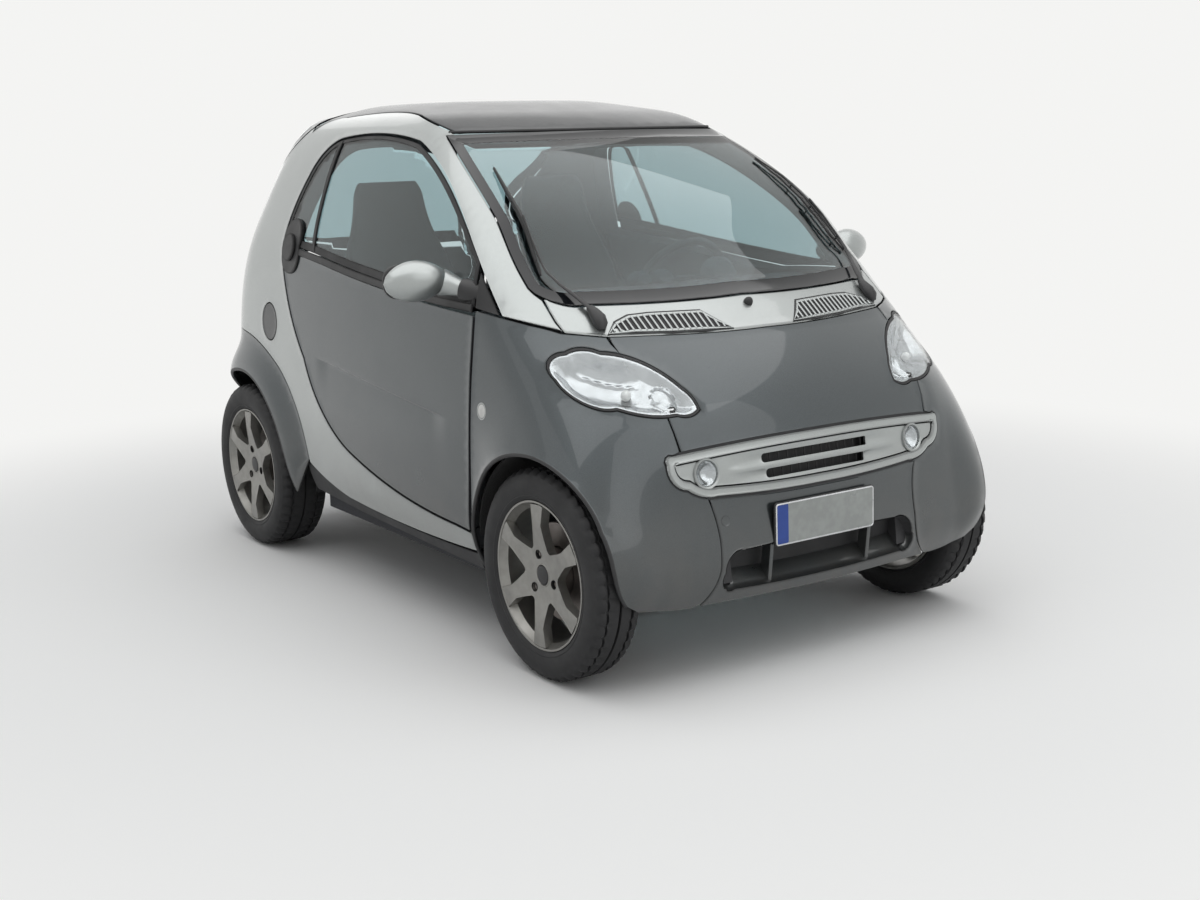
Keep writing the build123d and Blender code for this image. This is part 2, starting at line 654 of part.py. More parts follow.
with BuildPart() as number_plates:
    add(block((PLATE_FRONT["x"] - 80, PLATE_FRONT["x"]),
              [side * PLATE_FRONT["width"] / 2 for side in (-1, 1)],
              [PLATE_FRONT["z"] + side * PLATE_FRONT["height"] / 2 for side in (-1, 1)]))
    add(block((PLATE_REAR["x"], PLATE_REAR["x"] + 80),
              [side * PLATE_REAR["width"] / 2 for side in (-1, 1)],
              [PLATE_REAR["z"] + side * PLATE_REAR["height"] / 2 for side in (-1, 1)]))
    add(OUTER, mode=Mode.SUBTRACT)
save(number_plates.part, "number_plates")

WIPER = dict(foot=(-492, 938), tip=(-418, 1310), width=16)
with BuildPart() as wiper:
    add(RIGHT_PROUD)
    run, rise = (tip - foot for foot, tip in zip(WIPER["foot"], WIPER["tip"]))
    with BuildSketch(Plane.YZ.offset(100)):
        with Locations((WIPER["foot"][0] + run / 2, WIPER["foot"][1] + rise / 2)):
            SlotOverall(hypot(run, rise), WIPER["width"], rotation=degrees(atan2(rise, run)))
    extrude(amount=REACH, mode=Mode.INTERSECT)
    add(OUTER, mode=Mode.SUBTRACT)
with BuildPart() as wipers:
    add(wiper.part)
    mirror(wiper.part, about=Plane.XZ)
save(wipers.part, "wipers")

# ---------------------------------------------------------------- lids
with BuildPart() as hatch_glass:
    add(OUTER)
    add(HATCH_MASK, mode=Mode.INTERSECT)
    add(UNDER_PANE, mode=Mode.SUBTRACT)
    add(hinge_half(HATCH_HINGE, HATCH_HINGE["leaf"], BARREL_LENGTH + 1, 1.5 * BARREL_LENGTH, True))
save(hatch_glass.part, "hatch_glass")

with BuildPart() as tailgate_flap:
    add(OUTER)
    add(block((BEHIND, -1100),
              [side * (TAILGATE["half_width"] - DOOR_GAP) for side in (-1, 1)],
              (TAILGATE["foot"] + DOOR_GAP / 2, TAILGATE["head"] - DOOR_GAP)), mode=Mode.INTERSECT)
    add(UNDER_SKIN, mode=Mode.SUBTRACT)
    add(hinge_half(TAILGATE_HINGE, TAILGATE_HINGE["leaf"], BARREL_LENGTH + 1, 1.5 * BARREL_LENGTH, True))
save(tailgate_flap.part, "tailgate_flap")

with BuildPart() as fuel_flap:
    add(OUTER)
    with BuildSketch(Plane.XZ.offset(LOW)):
        with Locations((FUEL_FLAP["x"], FUEL_FLAP["z"])):
            Circle(FUEL_FLAP["radius"])
    extrude(amount=REACH, mode=Mode.INTERSECT)
    with Locations((FUEL_HINGE["x"], FUEL_HINGE["y"], FUEL_FLAP["z"])):
        Cylinder(FUEL_HINGE["radius"] + RUNNING_GAP, 2 * FUEL_FLAP["radius"], mode=Mode.SUBTRACT)
    add(UNDER_PANE, mode=Mode.SUBTRACT)
save(fuel_flap.part, "fuel_flap")

# ---------------------------------------------------------------- structure and cabin
with BuildPart() as cargo_floor:
    with BuildSketch(Plane.XZ):
        with BuildLine():
            Polyline(
                (FLOOR["rear"], FLOOR["top"]), (FLOOR["rear"], CARGO_FLOOR["foot"]),
                (CARGO_FLOOR["rear"], CARGO_FLOOR["foot"]), (CARGO_FLOOR["rear"], CARGO_FLOOR["top"]),
                (FLOOR["rear"] + CARGO_FLOOR["riser"], CARGO_FLOOR["top"]),
                (FLOOR["rear"] + CARGO_FLOOR["riser"], FLOOR["top"]), close=True)
        make_face()
    extrude(amount=FLOOR["half_width"], both=True)
    add(CABIN, mode=Mode.INTERSECT)
with BuildPart() as floor_pan:
    add(block((FLOOR["rear"], FLOOR["front"]), (-FLOOR["half_width"], FLOOR["half_width"]),
              (FLOOR["foot"], FLOOR["top"])))
    add(FRONT_ARCH, mode=Mode.SUBTRACT)
    add(cargo_floor.part)
save(floor_pan.part, "floor_pan")

with BuildPart() as front_structure:
    add(block((BULKHEAD["x"], BULKHEAD["x"] + BULKHEAD["wall"]),
              [side * BULKHEAD["half_width"] for side in (-1, 1)],
              (FLOOR["foot"], BULKHEAD["head"])))
    add(block((BULKHEAD["x"], BULKHEAD["x"] + BULKHEAD["wall"]), (-REACH, REACH),
              (FRONT_TYRE["radius"] + FRONT_ARCH_RADIUS + LINER_WALL, BULKHEAD["head"])))
    for side in (-1, 1):
        middle = side * RAIL["y"]
        half = RAIL["width"] / 2
        add(block((BULKHEAD["x"], RAIL["front"]), (middle - half, middle + half),
                  (RAIL["foot"], RAIL["head"])))
    add(block((RAIL["front"] - 60, RAIL["front"] + 60), (-385, 385), (345, 460)))
    add(UNDER_SKIN, mode=Mode.INTERSECT)
save(front_structure.part, "front_structure")

with BuildPart() as dashboard:
    with BuildSketch(Plane.XZ):
        with BuildLine():
            Polyline(*DASHBOARD, close=True)
        make_face()
    extrude(amount=DASHBOARD_HALF, both=True)
    add(CABIN, mode=Mode.INTERSECT)
with BuildPart() as seat:
    with BuildSketch(Plane.XZ.offset(SEAT["middle"])):
        with BuildLine():
            Polyline((SEAT["cushion_front"], SEAT["foot"]), (SEAT["cushion_front"], SEAT["top"]),
                     (SEAT["cushion_rear"] + SEAT["back_depth"] + 60, SEAT["top"] - 30),
                     (SEAT["cushion_rear"] + SEAT["back_depth"] - 40, SEAT["head_top"]),
                     (SEAT["cushion_rear"] - 40, SEAT["head_top"]),
                     (SEAT["cushion_rear"], SEAT["foot"]), close=True)
        make_face()
    extrude(amount=SEAT["width"] / 2, both=True)
    fillet(seat.edges().filter_by(Axis.Y).group_by(Axis.Z)[-1], 40)
with BuildPart() as seats:
    add(seat.part)
    mirror(seat.part, about=Plane.XZ)
save(seats.part, "seats")

column_plane = Plane(
    origin=(STEERING["x"], STEERING["y"], STEERING["z"]), x_dir=(0, 1, 0),
    z_dir=(cos(radians(STEERING["tilt"])), 0, -sin(radians(STEERING["tilt"]))))
with BuildPart() as steering_wheel:
    with BuildSketch(Plane(origin=column_plane.origin, x_dir=column_plane.x_dir,
                           z_dir=column_plane.y_dir)):
        with Locations((STEERING["radius"], 0)):
            Circle(STEERING["rim"])
    revolve(axis=Axis(column_plane.origin, column_plane.z_dir))
    with BuildSketch(column_plane):
        Circle(50)
        Rectangle(2 * STEERING["radius"], 40)
    extrude(amount=12, both=True)
save(steering_wheel.part, "steering_wheel")

with BuildPart() as steering_column:
    with BuildSketch(column_plane.offset(12 + RUNNING_GAP)):
        Circle(24)
    extrude(amount=STEERING["column"])
with BuildPart() as fascia:
    add(dashboard.part)
    add(steering_column.part)
save(fascia.part, "dashboard")


# ---------------------------------------------------------------- wheels and running gear
def tyre_solid(hub, tyre):
    """Tyre: rounded ring between its bead and its tread."""
    half = tyre["width"] / 2
    with BuildPart() as ring:
        with BuildSketch(Plane(origin=hub, x_dir=(1, 0, 0), z_dir=(0, 0, 1))):
            with BuildLine():
                Line((RIM_RADIUS - 10, -half + 12), (RIM_RADIUS - 10, half - 12))
                ThreePointArc((RIM_RADIUS - 10, half - 12), (RIM_RADIUS + 40, half),
                              (tyre["radius"] - 12, half - 14))
                ThreePointArc((tyre["radius"] - 12, half - 14), (tyre["radius"], 0),
                              (tyre["radius"] - 12, -half + 14))
                ThreePointArc((tyre["radius"] - 12, -half + 14), (RIM_RADIUS + 40, -half),
                              (RIM_RADIUS - 10, -half + 12))
            make_face()
        revolve(axis=Axis(hub, (0, 1, 0)))
    return ring.part


def rim_solid(hub, tyre):
    """Cast wheel on a right-hand hub: barrel, six spokes, hub and brake disc."""
    half = tyre["width"] / 2
    face_plane = Plane(origin=(hub[0], hub[1] - half + 8, hub[2]), x_dir=(1, 0, 0), z_dir=(0, -1, 0))
    with BuildPart() as rim:
        with BuildSketch(Plane(origin=hub, x_dir=(1, 0, 0), z_dir=(0, 0, 1))):
            with Locations((RIM_RADIUS - 10 - RIM_WALL / 2 - SLIP, 0)):
                Rectangle(RIM_WALL, 2 * half - 16)
        revolve(axis=Axis(hub, (0, 1, 0)))
        with BuildSketch(face_plane):
            Circle(HUB_RADIUS)
            with PolarLocations(0, SPOKE_COUNT, start_angle=90):
                with Locations((RIM_RADIUS / 2, 0)):
                    Rectangle(RIM_RADIUS - 30, SPOKE_WIDTH)
        extrude(amount=-25)
        with BuildSketch(face_plane.offset(-25)):
            Circle(HUB_RADIUS)
        extrude(amount=-half - 8 + 25)
        with BuildSketch(face_plane):
            with PolarLocations(BOLT_CIRCLE / 2, BOLT_COUNT, start_angle=90):
                Circle(BOLT_RADIUS)
        extrude(amount=-BOLT_DEPTH, mode=Mode.SUBTRACT)
        with BuildSketch(face_plane.offset(-half - 8)):
            Circle(BRAKE_DISC_RADIUS)
        extrude(amount=-16)
        with BuildSketch(face_plane.offset(-half - 24)):
            Circle(SPINDLE_RADIUS + RUNNING_GAP)
        extrude(amount=half - 20, mode=Mode.SUBTRACT)
    return rim.part


for name, hub, tyre in (("front", FRONT_HUB, FRONT_TYRE), ("rear", REAR_HUB, REAR_TYRE)):
    save_pair(tyre_solid(hub, tyre), f"tyre_{name}")
    save_pair(rim_solid(hub, tyre), f"rim_{name}")

front_disc_y = -FRONT_TYRE["middle"] + 24 + 8 + 8 + RUNNING_GAP
rear_disc_y = -REAR_TYRE["middle"] + 24 + 8 + 8 + RUNNING_GAP
with BuildPart() as knuckle:
    add(block((FRONT_AXLE_X - UPRIGHT["length"] / 2, FRONT_AXLE_X + UPRIGHT["length"] / 2),
              (-KINGPIN_Y - UPRIGHT["width"] / 2, -KINGPIN_Y + UPRIGHT["width"] / 2),
              (UPRIGHT["foot"], UPRIGHT["head"])))
    with BuildSketch(Plane(origin=(FRONT_AXLE_X, -KINGPIN_Y, FRONT_TYRE["radius"]),
                           x_dir=(1, 0, 0), z_dir=(0, -1, 0))):
        Circle(34)
    extrude(amount=-front_disc_y - KINGPIN_Y)
    with BuildSketch(Plane(origin=(FRONT_AXLE_X, -KINGPIN_Y, FRONT_TYRE["radius"]),
                           x_dir=(1, 0, 0), z_dir=(0, -1, 0))):
        Circle(SPINDLE_RADIUS)
    extrude(amount=-front_disc_y - KINGPIN_Y + 40)
save_pair(knuckle.part, "knuckle")

with BuildPart() as front_suspension:
    add(block((FRONT_AXLE_X - 25, FRONT_AXLE_X + 25), (-KINGPIN_Y - 25, -RAIL["y"]),
              (UPRIGHT["foot"] - 22, UPRIGHT["foot"] - RUNNING_GAP)))
    add(block((FRONT_AXLE_X - 25, FRONT_AXLE_X + 25), (-RAIL["y"] - 15, -RAIL["y"] + 15),
              (UPRIGHT["foot"] - 22, RAIL["foot"])))
    with Locations((FRONT_AXLE_X, -KINGPIN_Y, UPRIGHT["head"] + RUNNING_GAP)):
        Cylinder(STRUT_RADIUS, (FRONT_TYRE["radius"] + FRONT_ARCH_RADIUS - LINER_WALL - 3 * SLIP
                                - UPRIGHT["head"] - RUNNING_GAP),
                 align=(Align.CENTER, Align.CENTER, Align.MIN))
with BuildPart() as front_axle:
    add(front_suspension.part)
    mirror(front_suspension.part, about=Plane.XZ)
save(front_axle.part, "front_axle")

with BuildPart() as rear_axle:
    with BuildSketch(Plane.XZ.offset(rear_disc_y)):
        with Locations((REAR_AXLE_X, REAR_TYRE["radius"])):
            Circle(AXLE_TUBE_RADIUS)
    extrude(amount=-2 * rear_disc_y)
    with BuildSketch(Plane.XZ.offset(rear_disc_y - 40)):
        with Locations((REAR_AXLE_X, REAR_TYRE["radius"])):
            Circle(SPINDLE_RADIUS)
    extrude(amount=-2 * (rear_disc_y - 40))
    with Locations(*[(REAR_AXLE_X, side * SPRING["y"], REAR_TYRE["radius"]) for side in (-1, 1)]):
        Cylinder(SPRING["radius"], CARGO_FLOOR["foot"] - REAR_TYRE["radius"],
                 align=(Align.CENTER, Align.CENTER, Align.MIN))
save(rear_axle.part, "rear_axle")

with BuildPart() as engine_block:
    add(block((ENGINE["rear"], ENGINE["front"]), (-ENGINE["half_width"], ENGINE["half_width"]),
              (ENGINE["foot"], CARGO_FLOOR["foot"])))
save(engine_block.part, "engine_block")

with BuildPart() as exhaust:
    add(block((SILENCER["rear"], ENGINE["rear"]), (-SILENCER["half_width"], SILENCER["half_width"]),
              (SILENCER["foot"], SILENCER["head"])))
save(exhaust.part, "exhaust")


def arch_liner(hub, radius, inner_y, outer_y):
    """Dome over a wheel, from the fender inward."""
    with BuildPart() as liner:
        with BuildSketch(Plane.XZ.offset(inner_y)):
            with Locations((hub[0], hub[2])):
                Circle(radius)
                Circle(radius - LINER_WALL, mode=Mode.SUBTRACT)
        extrude(amount=outer_y - inner_y)
        with BuildSketch(Plane.XZ.offset(inner_y)):
            with Locations((hub[0], hub[2])):
                Circle(radius)
        extrude(amount=LINER_WALL)
        add(block((-REACH, REACH), (-REACH, 0), (hub[2] + 40, REACH)), mode=Mode.INTERSECT)
        add(UNDER_SKIN, mode=Mode.INTERSECT)
    return liner.part


with BuildPart() as arch_liners:
    for hub, radius, inner_y in ((FRONT_HUB, FRONT_ARCH_RADIUS, LINER_INNER_Y),
                                 (REAR_HUB, REAR_ARCH_RADIUS, REAR_LINER_INNER_Y)):
        liner = arch_liner(hub, radius, inner_y, LINER_OUTER_Y)
        add(liner)
        mirror(liner, about=Plane.XZ)
save(arch_liners.part, "arch_liners")
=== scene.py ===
import math

import bpy
import numpy as np
from mathutils import Matrix, Vector
from mathutils.bvhtree import BVHTree
from mathutils.geometry import delaunay_2d_cdt


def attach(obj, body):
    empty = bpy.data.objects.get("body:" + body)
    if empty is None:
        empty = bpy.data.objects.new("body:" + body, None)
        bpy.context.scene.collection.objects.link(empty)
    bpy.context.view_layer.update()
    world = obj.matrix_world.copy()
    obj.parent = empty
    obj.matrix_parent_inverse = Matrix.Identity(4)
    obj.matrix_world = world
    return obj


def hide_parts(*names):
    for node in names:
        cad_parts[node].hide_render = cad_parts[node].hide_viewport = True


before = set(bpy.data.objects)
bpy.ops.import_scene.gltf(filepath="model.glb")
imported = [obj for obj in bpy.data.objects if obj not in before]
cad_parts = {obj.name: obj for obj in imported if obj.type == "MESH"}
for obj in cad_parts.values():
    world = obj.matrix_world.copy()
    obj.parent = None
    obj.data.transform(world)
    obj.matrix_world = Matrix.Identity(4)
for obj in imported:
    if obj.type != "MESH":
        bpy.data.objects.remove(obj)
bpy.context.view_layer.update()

MM = 0.001
ACROSS = np.array([1, -1, 1])    # turns a point of one side into its twin on the other
FRONT_AXLE_X, REAR_AXLE_X = 905, -907
FRONT_WHEEL_Z, REAR_WHEEL_Z = 284.5, 286.5

# Body sections, as the solid model has them: height, nose, tail, half width,
# how far nose, side and tail bow out, front and rear corner radius
SECTIONS = [
    (200, 1220, -1190, 655, 40, 30, 50, 150, 220),
    (300, 1240, -1230, 700, 30, 30, 55, 145, 230),
    (450, 1222, -1244, 722, 45, 30, 60, 175, 240),
    (720, 1156, -1238, 726, 80, 30, 72, 305, 275),
    (945, 918, -1206, 710, 105, 28, 88, 265, 265),
    (1060, 778, -1175, 694, 125, 28, 105, 150, 280),
    (1200, 625, -1132, 648, 105, 28, 122, 100, 285),
    (1430, 246, -1021, 527, 110, 28, 118, 120, 230),
    (1480, 80, -930, 434, 95, 25, 98, 150, 215),
    (1510, -120, -778, 312, 90, 22, 75, 160, 190),
    (1515, -281, -651, 190, 40, 15, 40, 90, 110),
    (1517, -420, -520, 50, 10, 4, 10, 22, 24),
]
BEND = 1430          # above this height a level is counted along the roof


# ---------------- body surface
def unit(vectors):
    """The vectors at length 1."""
    return vectors / np.maximum(np.linalg.norm(vectors, axis=-1, keepdims=True), 1e-9)


def natural_spline(knots, values):
    """Second derivatives of the natural cubic spline through the values."""
    count = len(knots)
    step = np.diff(knots)
    matrix, right = np.zeros((count, count)), np.zeros(values.shape)
    matrix[0, 0] = matrix[-1, -1] = 1
    for i in range(1, count - 1):
        matrix[i, i - 1:i + 2] = step[i - 1], 2 * (step[i - 1] + step[i]), step[i]
        right[i] = 6 * ((values[i + 1] - values[i]) / step[i]
                        - (values[i] - values[i - 1]) / step[i - 1])
    return np.linalg.solve(matrix, right)


SECTION = np.array(SECTIONS, float)
LEVEL = [SECTION[0, 0]]
for below, above in zip(SECTION, SECTION[1:]):
    rise = above[0] - below[0]
    LEVEL.append(LEVEL[-1] + (rise if above[0] <= BEND else math.hypot(rise, above[1] - below[1])))
LEVEL = np.array(LEVEL)
SECOND = natural_spline(LEVEL, SECTION)


def spline_at(knots, values, second, at):
    """The natural cubic spline through the values, at places between the knots."""
    index = np.clip(np.searchsorted(knots, at) - 1, 0, len(knots) - 2)
    step = (knots[index + 1] - knots[index])[..., None]
    t = (at - knots[index])[..., None]
    low, high, bend0, bend1 = values[index], values[index + 1], second[index], second[index + 1]
    return (low + t * ((high - low) / step - step * (2 * bend0 + bend1) / 6)
            + t * t * bend0 / 2 + t ** 3 * (bend1 - bend0) / (6 * step))


def section_at(level):
    """Height, nose, tail, ... at each level, smoothly between the sections."""
    return spline_at(LEVEL, SECTION, SECOND, level)


FINE_LEVEL = np.linspace(LEVEL[0], LEVEL[-1], 3000)
FINE_HEIGHT = np.maximum.accumulate(section_at(FINE_LEVEL)[:, 0])


def level_of(height):
    """The level whose section lies at this height."""
    return np.interp(height, FINE_HEIGHT, FINE_LEVEL)


class Contour:
    """The right-hand half of the sections at some levels, as five arcs from nose to tail."""

    def __init__(self, level):
        (self.height, nose, tail, half, nose_bow, side_bow, tail_bow,
         front_radius, rear_radius) = np.moveaxis(section_at(level), -1, 0)
        side, front, rear = half - side_bow, nose - nose_bow, tail + tail_bow
        centre_x, reach = (front + rear) / 2, (front - rear) / 2
        middle = (nose + tail) / 2 - centre_x
        nose_radius = (side ** 2 + nose_bow ** 2) / (2 * nose_bow)
        tail_radius = (side ** 2 + tail_bow ** 2) / (2 * tail_bow)
        side_y = -(middle ** 2 + half ** 2 - reach ** 2 - side ** 2) / (2 * side_bow)
        side_radius = np.hypot(reach, side + side_y)
        nose_x, tail_x = nose - nose_radius, tail + tail_radius

        def corner(bow_x, bow_radius, radius, sign):
            a, b = bow_radius - radius, side_radius - radius
            dx, dy = centre_x - bow_x, side_y
            gap = np.hypot(dx, dy)
            along = (a * a - b * b + gap * gap) / (2 * gap)
            across = np.sqrt(np.maximum(a * a - along * along, 0)) * sign
            first, other = ((bow_x + (along * dx + way * dy) / gap, (along * dy - way * dx) / gap)
                            for way in (across, -across))
            return np.where(first[1] > 0, other, first)

        front_x, front_y = corner(nose_x, nose_radius, front_radius, 1)
        rear_x, rear_y = corner(tail_x, tail_radius, rear_radius, -1)

        def turned(angle):
            return np.where(angle > 0, angle - 2 * np.pi, angle)

        zero = np.zeros_like(nose)
        joints = [zero, turned(np.arctan2(front_y, front_x - nose_x)),
                  turned(np.arctan2(front_y - side_y, front_x - centre_x)),
                  turned(np.arctan2(rear_y - side_y, rear_x - centre_x)),
                  turned(np.arctan2(rear_y, rear_x - tail_x)), zero - np.pi]
        self.x = np.stack([nose_x, front_x, centre_x, rear_x, tail_x])
        self.y = np.stack([zero, front_y, side_y, rear_y, zero])
        self.radius = np.stack([nose_radius, front_radius, side_radius, rear_radius, tail_radius])
        self.start, end = np.stack(joints[:5]), np.stack(joints[1:])
        self.arc = (self.start - end) * self.radius
        self.length = self.arc.sum(0)
        reach_angle = -np.pi + np.arccos(np.clip(centre_x / side_radius, -1, 1))
        self.side = self.arc[0] + self.arc[1] + (self.start[2] - reach_angle) * side_radius

    def at(self, distance):
        """x and y at a distance along the section from the nose; it goes on round both ends."""
        sign = np.where((distance < 0) | (distance > self.length), -1.0, 1.0)
        distance = np.abs(distance)
        distance = np.where(distance > self.length, 2 * self.length - distance, distance)
        x, y = np.zeros_like(distance), np.zeros_like(distance)
        left = distance
        done = np.zeros(distance.shape, bool)
        for k in range(5):
            here = ~done & ((left <= self.arc[k]) | (k == 4))
            angle = self.start[k] - left / self.radius[k]
            x = np.where(here, self.x[k] + self.radius[k] * np.cos(angle), x)
            y = np.where(here, self.y[k] + self.radius[k] * np.sin(angle), y)
            done |= here
            left = left - self.arc[k]
        return x, y * sign


SOFTEN = [(-50, 1), (-25, 4), (0, 6), (25, 4), (50, 1)]


def start_of(contour, datum):
    """Distance from the nose where a panel's own distances start."""
    return {"nose": 0 * contour.length, "side": contour.side, "tail": contour.length}[datum]


def smooth(low, high, value):
    """Smooth step from 0 at low to 1 at high."""
    t = np.clip((value - low) / (high - low), 0, 1)
    return t * t * (3 - 2 * t)


def raw_point(distance, level, datum):
    """Point of the plain body surface, with its corners softened along the section."""
    contour = Contour(level)
    distance = distance + start_of(contour, datum)
    x, y = 0, 0
    for shift, weight in SOFTEN:
        near = contour.at(distance + shift * np.clip(contour.length / 2500, 0.05, 1))
        x, y = x + near[0] * weight / 16, y + near[1] * weight / 16
    return np.stack([x, y, contour.height], -1)


FRONT_SWELL, REAR_SWELL = 54, 40   # how far the wheel arches stand out


def crease_height(x):
    """Height of the crease along the door."""
    return 697 - 0.1025 * x


def relief(p):
    """How far the panels stand out from the plain surface."""
    x, y, z = p[..., 0], np.abs(p[..., 1]), p[..., 2]
    out = FRONT_SWELL * (1 - smooth(400, 800, z)) * smooth(580, 840, x) * smooth(520, 705, y)
    r = np.hypot(x - REAR_AXLE_X, z - REAR_WHEEL_Z)
    out = out + REAR_SWELL * (1 - smooth(345, 470, r)) * smooth(420, 640, y) * smooth(-430, -520, x)
    below = crease_height(x) - z
    ends = smooth(-345, -250, x) * (1 - smooth(400, 490, x)) * smooth(500, 600, y)
    out = out - 6.5 * smooth(-3, 5, below) * np.exp(-np.maximum(below, 0) / 60) * ends
    return out


def body_point(distance, level, datum="side", raised=True):
    """Points and outward normals of the body surface, in millimetres."""
    distance, level = np.asarray(distance, float), np.asarray(level, float)

    def plain(shift_d, shift_l):
        a, b = distance + shift_d, np.clip(level + shift_l, LEVEL[0] - 40, LEVEL[-1])
        point = raw_point(a, b, datum)
        du = raw_point(a + 1, b, datum) - raw_point(a - 1, b, datum)
        dv = raw_point(a, b + 1, datum) - raw_point(a, b - 1, datum)
        normal = unit(np.cross(dv, du))
        if raised:
            point = point + normal * relief(point)[..., None]
        return point, normal

    point, normal = plain(0, 0)
    if raised:
        du = plain(3, 0)[0] - plain(-3, 0)[0]
        dv = plain(0, 3)[0] - plain(0, -3)[0]
        normal = unit(np.cross(dv, du))
    return point, normal


def moulded_on(datum, height):
    """The body surface with a further height over it, given from point, distance and level."""
    def plain(distance, level):
        point, normal = body_point(distance, level, datum)
        return point + normal * height(point, distance, level)[..., None]

    def surface(distance, level):
        normal = unit(np.cross(plain(distance, level + 1) - plain(distance, level - 1),
                               plain(distance + 1, level) - plain(distance - 1, level)))
        return plain(distance, level), normal

    return surface


# ---------------- outlines
def arc_points(a, b, c, spacing):
    """Points after a along the arc through b to c."""
    (ax, ay), (bx, by), (cx, cy) = a, b, c
    turn = 2 * (ax * (by - cy) + bx * (cy - ay) + cx * (ay - by))
    if abs(turn) < 1e-6:
        return line_points(a, c, spacing)
    ox = ((ax * ax + ay * ay) * (by - cy) + (bx * bx + by * by) * (cy - ay)
          + (cx * cx + cy * cy) * (ay - by)) / turn
    oy = ((ax * ax + ay * ay) * (cx - bx) + (bx * bx + by * by) * (ax - cx)
          + (cx * cx + cy * cy) * (bx - ax)) / turn
    radius = math.hypot(ax - ox, ay - oy)
    first, mid, last = (math.atan2(q - oy, p - ox) for p, q in (a, b, c))
    sweep, part = (last - first) % (2 * math.pi), (mid - first) % (2 * math.pi)
    if part > sweep:
        sweep -= 2 * math.pi
    count = max(2, round(abs(sweep) * radius / spacing))
    return [(ox + radius * math.cos(first + sweep * k / count),
             oy + radius * math.sin(first + sweep * k / count)) for k in range(1, count + 1)]


def line_points(a, b, spacing):
    """Points after a along the straight line to b."""
    count = max(1, round(math.dist(a, b) / spacing))
    return [(a[0] + (b[0] - a[0]) * k / count, a[1] + (b[1] - a[1]) * k / count)
            for k in range(1, count + 1)]


def run(start, legs, spacing=12):
    """Points along legs of (middle of an arc or None, end)."""
    points = [tuple(start)]
    for middle, end in legs:
        here = points[-1]
        points += (line_points(here, end, spacing) if middle is None
                   else arc_points(here, middle, end, spacing))
    return points


def settle(points, view, datum):
    """Turn points of a view (side: x, z; front or rear: y, z) into distance and level."""
    points = np.array(points, float)
    level = level_of(points[:, 1])
    contour = Contour(level)
    low, high = np.zeros(len(points)), contour.length.copy()
    if view == "front":
        high = contour.side.copy()
    if view == "rear":
        low = contour.side.copy()
    for _ in range(40):
        middle = (low + high) / 2
        x, y = contour.at(middle)
        short = {"side": x > points[:, 0], "front": y > -np.abs(points[:, 0]),
                 "rear": y < -np.abs(points[:, 0])}[view]
        low, high = np.where(short, middle, low), np.where(short, high, middle)
    return np.stack([(low + high) / 2 - start_of(contour, datum), level], -1)


def settle_raised(points, datum):
    """Side-view points whose place on the raised surface, not the plain one, is given."""
    target = np.array(points, float)
    aim = target.copy()
    for _ in range(8):
        flat = settle(aim, "side", datum)
        place, _ = body_point(flat[:, 0], flat[:, 1], datum)
        aim += (target - place[:, [0, 2]]) * 0.8
    return settle(aim, "side", datum)


SAME_POINT = 0.6     # outline points nearer than this count as one


def thinned(points):
    """The points without those that nearly repeat the one before."""
    kept = [points[0]]
    for point in points[1:]:
        if np.hypot(*(point - kept[-1])) > SAME_POINT:
            kept.append(point)
    return kept


def closed_outline(points):
    """A counter-clockwise outline through the points."""
    kept = thinned(points)
    if np.hypot(*(kept[0] - kept[-1])) < SAME_POINT:
        kept.pop()
    return facing_in(np.array(kept))


def loop(datum, *runs):
    """One closed outline in distance and level from (view, points) runs."""
    return closed_outline(np.concatenate([
        settle_raised(part, datum) if view == "lip" else settle(part, view, datum) for view, part in runs]))


def facing_in(points):
    """The same outline, counter-clockwise."""
    x, y = points[:, 0], points[:, 1]
    area = (x * np.roll(y, -1) - np.roll(x, -1) * y).sum()
    return points if area > 0 else points[::-1]


def side_loop(points):
    """A closed outline on the side, given in the side view."""
    return loop("side", ("side", points))


def half_loop(datum, *runs):
    """A symmetric outline across the nose or tail, from the runs of its right-hand half."""
    points = np.array(thinned(np.concatenate([settle(part, view, datum) for view, part in runs])))
    points[0, 0] = points[-1, 0] = 0
    return closed_outline([*points, *(points[::-1] * [-1, 1])])


def on_nose(points):
    """Distance and level of front-view points on either side of the centre line."""
    points = np.array(points, float)
    return settle(points, "front", "nose") * np.where(points[:, :1] > 0, [-1, 1], [1, 1])


def across_nose(view):
    """The outline on the nose whose right-hand half is given in the front view."""
    return facing_in(on_nose(view[:-1] + [(-y, z) for y, z in view[:0:-1]]))


def inset(points, amount):
    """A counter-clockwise outline moved inward."""
    ahead, back = np.roll(points, -1, 0) - points, points - np.roll(points, 1, 0)
    n0, n1 = (np.stack([-way[:, 1], way[:, 0]], -1) for way in (unit(back), unit(ahead)))
    normal = n0 + n1
    return points + normal / np.maximum((normal * n1).sum(1, keepdims=True), 0.7) * amount


def inside(points, outline):
    """Which points lie within an outline."""
    x, y = points[:, 0], points[:, 1]
    odd = np.zeros(len(points), bool)
    for (x0, y0), (x1, y1) in zip(outline, np.roll(outline, -1, 0)):
        if y0 != y1:
            odd ^= ((y0 > y) != (y1 > y)) & (x < (x1 - x0) * (y - y0) / (y1 - y0) + x0)
    return odd


def distance_to(points, outline):
    """Distance of points from an outline."""
    near = np.full(len(points), np.inf)
    for a, b in zip(outline, np.roll(outline, -1, 0)):
        along = b - a
        t = np.clip(((points - a) @ along) / max(along @ along, 1e-9), 0, 1)
        near = np.minimum(near, np.hypot(*(points - a - t[:, None] * along).T))
    return near


# ---------------- pieces
def ride(piece, body, replaced=()):
    """Name the body a piece moves with and the solids it stands for."""
    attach(piece, body)
    if replaced:
        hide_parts(*replaced)
    return piece


